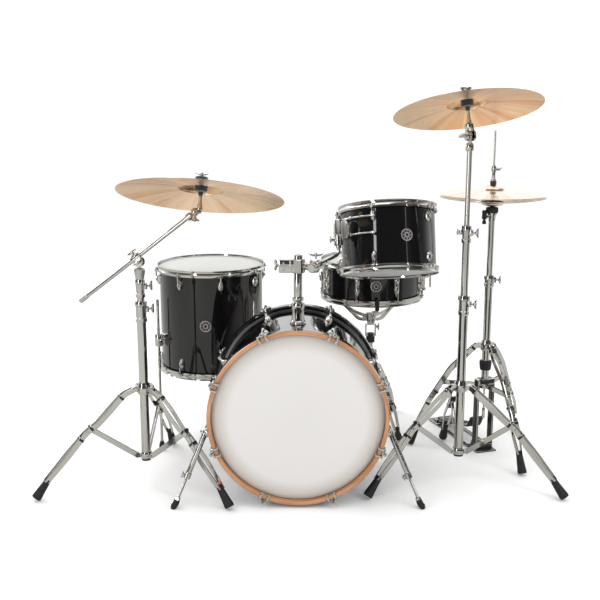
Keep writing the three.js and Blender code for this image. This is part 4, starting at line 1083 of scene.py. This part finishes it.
def boomStandParts():
    collar, hub, legPivot = boomStand["collar"], boomStand["hub"], boomStand["legPivot"]
    hubPivot, join = boomStand["hubPivot"], boomStand["join"]
    form = bmesh.new()
    plainTube(form, 14.3, 11.6, 100, 540)
    heightClamp(form, 14.3, 11.1, 532, 598, 25)
    wallPlug(form, 14.5, 80, 104, 1)
    lathe(form, [(14, hub - 10), (17, hub - 10), (18.4, hub - 7), (18.4, hub + 7), (17, hub + 10),
                 (14, hub + 10),
                 (14, hub - 10)], Matrix(), 40)
    for i in range(3):
        softBox(form, (14, 4.8, 13), turn(boomStand["feet"] + 120 * i, "Z") @ move(20, 0, hub), 1.6)
    makePiece("boomBaseTube", form, boomPlace, [chrome, rubber], "kit_base", ["boom_base_tube"])
    form = bmesh.new()
    lathe(form, [(14.8, collar - 16), (19.6, collar - 16), (21, collar - 13), (21, collar + 8),
                 (19, collar + 12),
                 (17.6, collar + 20), (14.8, collar + 20), (14.8, collar - 16)], Matrix(), 40)
    for i in range(3):
        spin = turn(boomStand["feet"] + 120 * i, "Z")
        softBox(form, (20, 8.6, 17), spin @ move(27, 0, collar), 2.4)
        rod(form, (legPivot, -4.4, collar), (legPivot, 4.4, collar), 7.4, spin, 24)
    wingBolt(form, turn(boomStand["feet"] + 60, "Z") @ move(20, 0, collar) @ turn(90, "Y"), 8, 26)
    makePiece("boomLegCollar", form, boomPlace, [chrome], "boom_leg_collar", ["boom_leg_collar"])
    line = [(x - legPivot, z - collar) for x, z in boomStand["line"]]
    for hand in ("rear", "left", "right"):
        form = bmesh.new()
        doubleLeg(form, line, boomStand["foot"] - legPivot, -collar)
        rod(form, (0, -9.6, 0), (0, 9.6, 0), 4.4)
        finishes = [chrome, rubber]
        if hand == "right":
            a, b = Vector(line[-2]), Vector(line[-1])
            spot = a + (b - a) * 0.9
            lean = math.degrees(math.atan2(b.y - a.y, b.x - a.x))
            softBox(form, (9, 16.6, 19), move(spot.x, 0, spot.y) @ turn(-lean, "Y"), 1.2, 2)
            finishes.append(orangeBand)
        makePiece(f"boomLeg{hand.capitalize()}", form, hingeFrame(f"boom_leg_{hand}_fold"), finishes,
                  f"boom_leg_{hand}", [f"boom_leg_{hand}"])
        form = bmesh.new()
        braceBar(form, (0, 0), (join[0] - hubPivot, join[1] - hub))
        makePiece(f"boomBrace{hand.capitalize()}", form, hingeFrame(f"boom_brace_{hand}_fold", -1), [chrome],
                  f"boom_brace_{hand}", [f"boom_brace_{hand}"])
    form = bmesh.new()
    plainTube(form, 11.1, 8.5, 330, 620)
    heightClamp(form, 11.1, 8, 609, 667, 25)
    makePiece("boomMiddleTube", form, boomPlace, [chrome], "boom_middle_tube", ["boom_middle_tube"])
    form = bmesh.new()
    wallPlug(form, 8, 480, 680)
    # a satin cone of stacked bands under the clamp
    lathe(form, [(8, 664), (12.4, 664), (13, 667), (14.6, 678), (15, 679), (16.4, 688), (17, 690),
                 (17.8, 694),
                 (15, 699.5), (8, 702), (0, 702)], Matrix(), 44, 1)
    makePiece("boomUpperTube", form, boomPlace, [chrome, castGrey], "boom_upper_tube", ["boom_upper_tube"])
    reach = Vector(joints["boom_arm_reach"]["axis"])
    side = Vector(boomTilt["axis"])
    slope = basis(boomTilt["pos_m"], reach, side, reach.cross(side))
    rise = boomStand["armRise"]
    form = bmesh.new()
    for hand in (-1, 1):
        lathe(form, [(0, 0), (16, 0), (16.6, 1), (15, 5), (0, 6)],
              move(0, hand * 5, 1) @ turn(-hand * 90, "X"), 36)
    lathe(form, [(6.9, -17), (10, -17), (11.6, -15), (11.6, 15), (10, 17), (6.9, 17), (6.9, -17)],
          move(0, 0, rise) @ turn(90, "Y"), 32)
    pebble(form, (16, 12, 9), move(0, 0, rise + 6), 0, 24)
    wingBolt(form, move(0, 0, rise + 12), 7, 34)
    wingBolt(form, move(0, -10, 0) @ turn(90, "X"), 9, 26)
    makePiece("boomClamp", form, slope, [chrome], "boom_clamp", ["boom_clamp"])
    form = bmesh.new()
    tail, tip = boomStand["tail"], boomStand["tip"]
    rod(form, (tail + 20, 0, 0), (tip, 0, 0), 6.3, steps=24)
    grip = [(tail - 4, 6), (tail - 3, 7.4)]
    grip += [(tail + 3 * k, 7.8 if k % 2 else 7.2) for k in range(9)] + [(tail + 27, 6.6)]
    tube(form, [(x, 0, 0) for x, _ in grip], [radius for _, radius in grip], steps=24, paint=1)
    tube(form, [(tip - 8, 0, 0), (tip - 6, 0, 0), (tip + 8, 0, 0), (tip + 10, 0, 0)], [8, 10.6, 10.6, 8.6],
         steps=24)
    makePiece("boomArm", form, slope @ move(0, 0, rise * mm), [chrome, castGrey], "boom_arm", ["boom_arm"])
    cymbalPlace = cymbal("boomCymbal", "boom_cymbal", "boom_cymbal", ride, bronze)
    form = bmesh.new()
    cymbalSeat(form, ride, 40)
    pebble(form, (12.6, 12.6, 12.6), move(-13, 0, -46), 0, 24)
    softBox(form, (24, 14, 16), move(-5, 0, -42), 4)
    rod(form, (-13, -8, -50), (-9, -12, -66), 4)
    wingBolt(form, move(-10, -11, -62) @ turn(160, "X"), 8, 28)
    makePiece("boomCymbalTilter", form, cymbalPlace, [chrome, felt], "boom_cymbal_tilter",
              ["boom_cymbal_tilter"])


boomStandParts()
print("boom stand made")


# Snare stand
snareStand = {"azimuth": -62, "collar": 236, "hub": 108, "foot": 216, "brace": (134, 138), "tilt": 400,
              "line": [(30, 236), (62, 222), (132, 142), (188, 40)], "basket": -88, "base": 508}
snareTilt = Vector(joints["snare_basket_tilt"]["pos_m"])
snareStandPlace = upright(snareTilt.x, snareTilt.y)


def snareStandParts():
    form = bmesh.new()
    plainTube(form, 12.7, 10, 96, 290)
    heightClamp(form, 12.7, 9.9, 256, 296, 200)
    legTripod(form, *(snareStand[key] for key in ("azimuth", "collar", "hub", "line", "foot", "brace")), 12.2)
    makePiece("snareStandTripod", form, snareStandPlace, [chrome, rubber], "kit_base", ["snare_stand_tripod"])
    form = bmesh.new()
    wallPlug(form, 9.4, 150, 352)
    lathe(form, [(9, 328), (15.4, 328), (16, 331), (16, 350), (13, 362), (0, 362)], Matrix(), 36, 1)
    for side in (-1, 1):
        softBox(form, (5.6, 22, 44), move(side * 17.6, 0, 376), 2.4)
    softBox(form, (40, 21, 11), move(0, 0, 356), 3)
    wingBolt(form, move(20, 0, 386) @ turn(90, "Y"), 6, 28)
    makePiece("snareStandTube", form, snareStandPlace, [chrome, rubber], "snare_stand_tube",
              ["snare_stand_tube"])
    tipRadius = snare["radius"] + 16.5
    lift = snareStand["base"] - snareStand["tilt"]
    form = bmesh.new()
    lathe(form, [(0, 8), (17, 8), (20, 11), (20, 36), (16, 41), (0, 42)], Matrix(), 36)
    rod(form, (-13, 0, 0), (13, 0, 0), 7.6)
    softBox(form, (20, 14, 14), move(0, 0, 6), 3)
    wingBolt(form, move(-16, -8, 22) @ turn(-90, "Y"), 8, 28)
    for i in range(3):
        spin = turn(snareStand["basket"] + 120 * i, "Z")
        upperArm = [(14, 24), (60, 34), (tipRadius - 40, lift - 30), (tipRadius - 12, lift - 22),
                    (tipRadius, lift - 18)]
        strip(form, [(*point, 0) for point in upperArm], 12, 5, spin)
        for aside in (-6, 6):
            lowerArm = [(14, 12), (48, 10), (90, lift - 62), (118, lift - 40)]
            strip(form, [(*point, aside) for point in lowerArm], 9, 4, spin)
        rod(form, (118, -9, lift - 40), (118, 9, lift - 40), 4, spin)
        rod(form, (tipRadius, 0, lift - 26), (tipRadius, 0, lift + 2), 5.4, spin)
        path = [(tipRadius - 7, 0, lift - 15), (tipRadius + 1, 0, lift - 16), (tipRadius + 1.6, 0, lift - 6),
                (tipRadius + 1.6, 0, lift + 20)]
        tube(form, smoothLine(path, 6), 7.2, spin, 18, 1)
    makePiece("snareBasket", form, move(*snareTilt), [chrome, rubber], "snare_drum", ["snare_basket"])
    # wires, bottom head, strainer and butt, on the drum's own frame
    radius, depth = snare["radius"], snare["depth"]
    drumHead(snare, snarePlace, "snareBottomHead", "snare_bottom_hoop", True, drumFilm)
    form = bmesh.new()
    for i in range(14):
        offset = (i - 6.5) * 3.1
        path = [(-130 + 5 * k, offset, -3.4 - (0.5 if k % 2 else 0)) for k in range(53)]
        tube(form, path, 0.7, turn(-10, "Z"), 6)
    for side in (-1, 1):
        softBox(form, (18, 46, 1.6), turn(-10, "Z") @ move(side * 136, 0, -3.6), 0.5)
    makePiece("snareWires", form, snarePlace, [satin], "snare_drum")
    form = bmesh.new()
    strainer = turn(-10, "Z") @ move(radius, 0, depth / 2)
    softBox(form, (17, 32, 68), strainer @ move(8.6, 0, 0), 4)
    softBox(form, (18, 22, 20), strainer @ move(20, 0, 16), 4)
    lathe(form, [(0, -33), (5, -33), (5.6, -31), (5.6, -24), (4, -22), (0, -22)],
          strainer @ move(15, 0, -8), 20)
    butt = turn(170, "Z") @ move(radius, 0, depth / 2)
    softBox(form, (12, 29, 34), butt @ move(6, 0, 0), 3)
    for side in (-1, 1):
        socketNut(form, butt @ move(12, side * 8, 0) @ turn(90, "Y"), 3.4, 3)
    makePiece("snareStrainer", form, snarePlace, [chrome], "snare_drum")
    form = bmesh.new()
    lever = joints["snare_strainer_throw"]
    leverPlace = upright(*lever["pos_m"], -10)
    rod(form, (0, -10, 0), (0, 10, 0), 5.8)
    plate(form, [(-7, 5), (7, 5), (9, -12), (8, -34), (3.6, -43), (-3.6, -43), (-8, -34), (-9, -12)], 6.4,
          move(3, 0, 0) @ turn(90, "Z") @ turn(90, "X"), 0, 1.8)
    makePiece("snareStrainerLever", form, leverPlace, [chrome], "snare_strainer_lever",
              ["snare_strainer_lever"])


snareStandParts()
print("snare stand made")


# Hi-hat
hihat = {"turn": 18, "azimuth": -88, "collar": 378, "hub": 236, "foot": 268, "brace": (150, 240),
         "line": [(34, 378), (60, 362), (118, 290), (186, 176), (236, 66)], "top": 897, "bottom": 889,
         "casting": 262, "heel": 288}
hatCentre = centreOf("hihat_top_cymbal")
hihatPlace = upright(hatCentre.x, hatCentre.y, 0, hihat["turn"])


def footboardPlate(form, outline, width, paint=0, ribs=9):
    # a bent board, made across its width, with raised grip bars along the top
    sheet = [Vector(point) for point in outline]
    strip(form, [(point.x, point.y, 0) for point in sheet], 7, width, turn(-90, "Z"), paint, 8)
    for i in range(ribs):
        share = 0.12 + 0.62 * i / (ribs - 1)
        spot = sheet[1] + (sheet[2] - sheet[1]) * share
        lean = math.degrees(math.atan2((sheet[2] - sheet[1]).y, (sheet[2] - sheet[1]).x))
        rib = turn(-90, "Z") @ move(spot.x, 0, spot.y) @ turn(-lean, "Y") @ move(0, 0, 4)
        softBox(form, (4, width * 0.72, 2.2), rib, 0.8, paint)


def hihatParts():
    form = bmesh.new()
    plainTube(form, 13, 10.4, 254, 600)
    heightClamp(form, 13, 10, 584, 624, -20)
    lathe(form, [(12.7, 292), (18, 292), (19, 295), (20.6, 312), (21, 321), (19.4, 324), (12.7, 324),
                 (12.7, 292)],
          Matrix(), 40, 1)
    legTripod(form, *(hihat[key] for key in ("azimuth", "collar", "hub", "line", "foot", "brace")), 12.7)
    for side in (-1, 1):
        softBox(form, (7, 32, 236), move(side * 29, 0, 132), 2.4, 2)
        softBox(form, (15, 230, 4.6), move(side * 36, 150, 2.6), 1, 2)
        softBox(form, (12, 18, 18), move(side * 34, hihat["heel"], 10), 2.4, 2)
    softBox(form, (65, 36, 22), move(0, 0, hihat["casting"] - 12), 5, 2)
    softBox(form, (76, 70, 5.6), move(0, 0, 3), 1.4, 2)
    softBox(form, (66, 46, 28), move(0, 4, 16), 6, 2)
    softBox(form, (90, 70, 7.6), move(0, 300, 4), 2.4, 2)
    softBox(form, (80, 16, 5.6), move(0, 40, 3), 1.4, 2)
    for side in (-1, 1):
        for back in (282, 318):
            socketNut(form, move(side * 20, back, 7.6), 4, 2.4)
    makePiece("hihatBase", form, hihatPlace, [chrome, rubber, blackSteel], "kit_base", ["hihat_base"])
    form = bmesh.new()
    plainTube(form, 10, 4.4, 440, 838)
    lathe(form, [(4.4, 808), (11, 808), (12, 811), (12.6, 824), (18, 834), (18, 837), (4.4, 837), (4.4, 808)],
          Matrix(), 36)
    lathe(form, [(4.6, 836), (19, 836), (20.4, 838), (20.6, 851), (19, 854), (8, 856), (4.6, 856),
                 (4.6, 836)],
          Matrix(), 36, 1)
    rod(form, (-14, 0, 843), (-30, 0, 841), 4, paint=1)
    lathe(form, [(0, 812), (7, 812), (8, 815), (8, 838), (6.4, 842), (0, 842)], move(-28, 0, 3), 24, 1)
    lathe(form, [(0, 796), (6, 796), (6.6, 798), (6.6, 806), (4, 808), (4, 816), (0, 816)], move(-28, 0, 3),
          24, 1)
    rod(form, (-12, 0, 824), (-24, 0, 822), 5)
    makePiece("hihatUpperTube", form, hihatPlace, [chrome, rubber], "hihat_upper_tube", ["hihat_upper_tube"])
    bellTop = hihat["top"] + hat["height"]
    form = bmesh.new()
    rod(form, (0, 0, 150), (0, 0, 1107), 3.1)
    lathe(form, [(0, bellTop + 2), (9.6, bellTop + 2), (10.6, bellTop + 3), (10.6, bellTop + 14),
                 (9.6, bellTop + 15), (0, bellTop + 15)], Matrix(), 36, 1)
    lathe(form, [(0, bellTop - 12), (13, bellTop - 12), (14.6, bellTop - 10), (13, bellTop - 3),
                 (0, bellTop - 2.4)],
          Matrix(), 36, 1)
    lathe(form, [(0, bellTop + 15), (8, bellTop + 15), (8.4, bellTop + 17), (8.4, bellTop + 22),
                 (6, bellTop + 24),
                 (6, bellTop + 44), (8, bellTop + 47), (8.6, bellTop + 60), (7, bellTop + 65),
                 (0, bellTop + 65)],
          Matrix(), 32)
    wingBolt(form, move(6, 0, bellTop + 53) @ turn(90, "Y") @ turn(70, "Z"), 10, 32)
    softBox(form, (11, 4.6, 38), move(0, 0, 134), 1.6)
    makePiece("hihatRod", form, hihatPlace, [chrome, felt], "hihat_rod", ["hihat_rod"])
    cymbal("hihatTopCymbal", "hihat_top_cymbal", "hihat_rod", hat, hatBronze)
    cymbal("hihatBottomCymbal", "hihat_bottom_cymbal", "hihat_upper_tube", hat, hatBronze, True)
    form = bmesh.new()
    footboardPlate(form, [(-6, 3), (10, 1), (222, 47), (246, 86)], 54)
    rod(form, (-27, 0, 0), (27, 0, 0), 4.8)
    hinge = joints["hihat_footboard_press"]
    makePiece("hihatFootboard", form, upright(*hinge["pos_m"], hihat["turn"]), [blackSteel],
              "hihat_footboard",
              ["hihat_footboard"])


hihatParts()
print("hi-hat made")


# Kick pedal
kick = {"axleHeight": 168, "back": 33, "reach": 192}


def kickPedal():
    axle = Vector(joints["beater_swing"]["pos_m"])
    heel = Vector(joints["kick_footboard_press"]["pos_m"])
    place = upright(axle.x, axle.y)
    behind = (heel.y - axle.y) / mm
    tall = kick["axleHeight"] + 12
    form = bmesh.new()
    for side in (-1, 1):
        softBox(form, (7.6, 26, tall - 2), move(side * 44, 0, tall / 2), 3)
        lathe(form, [(6.7, -5.5), (13, -5.5), (14, -4), (14, 4), (13, 5.5), (6.7, 5.5), (6.7, -5.5)],
              move(side * 44, 0, kick["axleHeight"]) @ turn(90, "Y"), 32, 1)
        softBox(form, (9.6, 20, 25), move(side * 38, behind, 18), 2.6)
    softBox(form, (110, 60, 5.6), move(0, 0, 3), 1.4)
    softBox(form, (40, 24, 5.6), move(0, -42, 3), 1.4)
    softBox(form, (70, 216, 3.8), move(0, 95, 2), 1)
    softBox(form, (84, 66, 7.6), move(0, behind + 6, 4), 2.4)
    makePiece("kickPedalFrame", form, place, [blackSteel, chrome], "kit_base", ["kick_pedal_frame"])
    form = bmesh.new()
    lean = turn(-kick["back"], "X")
    rod(form, (-49, 0, 0), (49, 0, 0), 5.8)
    lathe(form, [(0, -13), (16, -13), (18, -11), (16, -9), (16, 9), (18, 11), (16, 13), (0, 13)],
          turn(90, "Y"), 40)
    rod(form, (0, 0, 0), (0, 0, kick["reach"] - 6), 2.9, lean)
    softBox(form, (14, 14, 14), lean @ move(0, 0, 16), 2.4)
    # the felt head lies across the shaft, its axis towards the drum
    lathe(form, [(0, -21), (17, -21), (21, -17), (21.6, 0), (21, 17), (17, 21), (0, 21)],
          lean @ move(0, 0, kick["reach"]) @ turn(90, "X"), 36, 1)
    makePiece("kickPedalBeater", form, move(*axle), [chrome, felt], "kick_beater", ["kick_pedal_beater"])
    form = bmesh.new()
    footboardPlate(form, [(-6, 3), (10, 1), (166, 39), (192, 62)], 62, ribs=8)
    rod(form, (-32, 0, 0), (32, 0, 0), 4.8)
    toe = axle.y / mm - heel.y / mm
    strip(form, [(-toe - 14, 58, 0), (-toe - 19, 80, 0), (-toe - 20, 146, 0)], 2.4, 15, turn(-90, "Z"), 1)
    makePiece("kickPedalFootboard", form, move(*heel), [satin, blackSteel], "kick_footboard",
              ["kick_pedal_footboard"])


kickPedal()
print("kick pedal made")


# Stage, light and camera
studio = {"floor": 0.93, "shine": (0.46, 0.455, 0.43), "paper": 1.12, "room": 1.2, "lens": 55.2,
          "camera": (-0.0020, -3.0043, 1.19), "tilt": 78}


def makeStage():
    form = bmesh.new()
    lathe(form, [(0, 0), (6, 0), (40, 0)], Matrix(), 96)
    shape = bpy.data.meshes.new("studioFloor")
    form.to_mesh(shape)
    form.free()
    floor = bpy.data.objects.new("studioFloor", shape)
    bpy.context.scene.collection.objects.link(floor)
    finish, shader = newFinish("studioFloor", (studio["floor"],) * 3, 0, 0.9)
    # the floor is pale to look at, and dimmer where it shines back from the metal
    ray = finish.node_tree.nodes.new("ShaderNodeLightPath")
    wire(finish, shadeBetween(finish, ray.outputs["Is Glossy Ray"], [
        (0.0, (studio["floor"],) * 3), (1.0, studio["shine"])]), shader.inputs["Base Color"])
    shape.materials.append(finish)


def gradient(world, source, stops):
    ramp = world.node_tree.nodes.new("ShaderNodeValToRGB")
    span = world.node_tree.nodes.new("ShaderNodeMapRange")
    span.inputs["From Min"].default_value = -1
    while len(ramp.color_ramp.elements) < len(stops):
        ramp.color_ramp.elements.new(0.5)
    for element, (spot, value) in zip(ramp.color_ramp.elements, stops):
        element.position = spot
        element.color = (value, value, value, 1)
    world.node_tree.links.new(source, span.inputs["Value"])
    world.node_tree.links.new(span.outputs["Result"], ramp.inputs["Fac"])
    return ramp.outputs["Color"]


def makeFlag():
    # a black card to one side, seen only where it shines back from the metal, as a dark line down each tube
    form = bmesh.new()
    for corners in (((2.3, -2.4, 0), (2.3, -0.6, 0), (2.3, -0.6, 2.4), (2.3, -2.4, 2.4)),
                    ((1.0, -2.4, 0.01), (2.3, -2.4, 0.01), (2.3, -0.6, 0.01), (1.0, -0.6, 0.01))):
        form.faces.new([form.verts.new(corner) for corner in corners])
    shape = bpy.data.meshes.new("blackFlag")
    form.to_mesh(shape)
    form.free()
    flag = bpy.data.objects.new("blackFlag", shape)
    bpy.context.scene.collection.objects.link(flag)
    finish, _ = newFinish("blackFlag", (0.02, 0.02, 0.02), 0, 1)
    shape.materials.append(finish)
    flag.visible_camera = False
    flag.visible_diffuse = False
    flag.visible_shadow = False


def makeRoom():
    # Pale paper lights the set. What shines back at the metal is a dark room in front,
    # with the pale backdrop behind and a bright ceiling.
    world = bpy.data.worlds.new("studioRoom")
    bpy.context.scene.world = world
    world.use_nodes = True
    nodes, links = world.node_tree.nodes, world.node_tree.links
    paper = nodes["Background"]
    paper.inputs["Color"].default_value = (1, 1, 1, 1)
    paper.inputs["Strength"].default_value = studio["paper"]
    room = nodes.new("ShaderNodeBackground")
    room.inputs["Strength"].default_value = studio["room"]
    place = nodes.new("ShaderNodeTexCoord")
    split = nodes.new("ShaderNodeSeparateXYZ")
    links.new(place.outputs["Generated"], split.inputs["Vector"])
    behind = gradient(world, split.outputs["Y"], [(0, 0.05), (0.36, 0.07), (0.52, 0.22), (0.62, 0.55),
                                                  (0.8, 1)])
    above = gradient(world, split.outputs["Z"], [(0.5, 0), (0.74, 0.03), (0.86, 0.5), (0.97, 0.8)])
    both = nodes.new("ShaderNodeMix")
    both.data_type = "RGBA"
    both.blend_type = "LIGHTEN"
    both.inputs[0].default_value = 1
    links.new(behind, both.inputs[6])
    links.new(above, both.inputs[7])
    links.new(both.outputs[2], room.inputs["Color"])
    ray = nodes.new("ShaderNodeLightPath")
    mix = nodes.new("ShaderNodeMixShader")
    links.new(ray.outputs["Is Glossy Ray"], mix.inputs["Fac"])
    links.new(paper.outputs["Background"], mix.inputs[1])
    links.new(room.outputs["Background"], mix.inputs[2])
    links.new(mix.outputs["Shader"], nodes["World Output"].inputs["Surface"])


def makeLight(name, spot, target, size, power):
    lamp = bpy.data.lights.new(name, "AREA")
    lamp.shape = "RECTANGLE"
    lamp.size, lamp.size_y = size
    lamp.energy = power
    light = bpy.data.objects.new(name, lamp)
    bpy.context.scene.collection.objects.link(light)
    light.location = spot
    light.rotation_euler = (Vector(target) - Vector(spot)).to_track_quat("-Z", "Y").to_euler()


def makeCamera():
    lens = bpy.data.cameras.new("studioCamera")
    lens.lens = studio["lens"]
    lens.sensor_width = 36
    camera = bpy.data.objects.new("studioCamera", lens)
    bpy.context.scene.collection.objects.link(camera)
    camera.location = studio["camera"]
    camera.rotation_euler = (math.radians(studio["tilt"]), 0, 0)
    lens.clip_end = 200
    bpy.context.scene.camera = camera


makeStage()
makeFlag()
makeRoom()
makeLight("topBox", (0, -0.4, 3.4), (0, 0, 0), (3.4, 2.6), 24)
makeLight("backStrip", (-1.7, 1.0, 2.3), (0, 0, 0.5), (0.35, 2.2), 20)
makeLight("leftStrip", (-2.1, -3.0, 1.5), (0, 0, 0.7), (0.4, 2.4), 22)
makeLight("rightStrip", (2.7, -2.5, 1.5), (0, 0, 0.7), (0.5, 2.4), 26)
makeCamera()
bpy.context.scene.view_settings.view_transform = "Standard"
print("stage made")
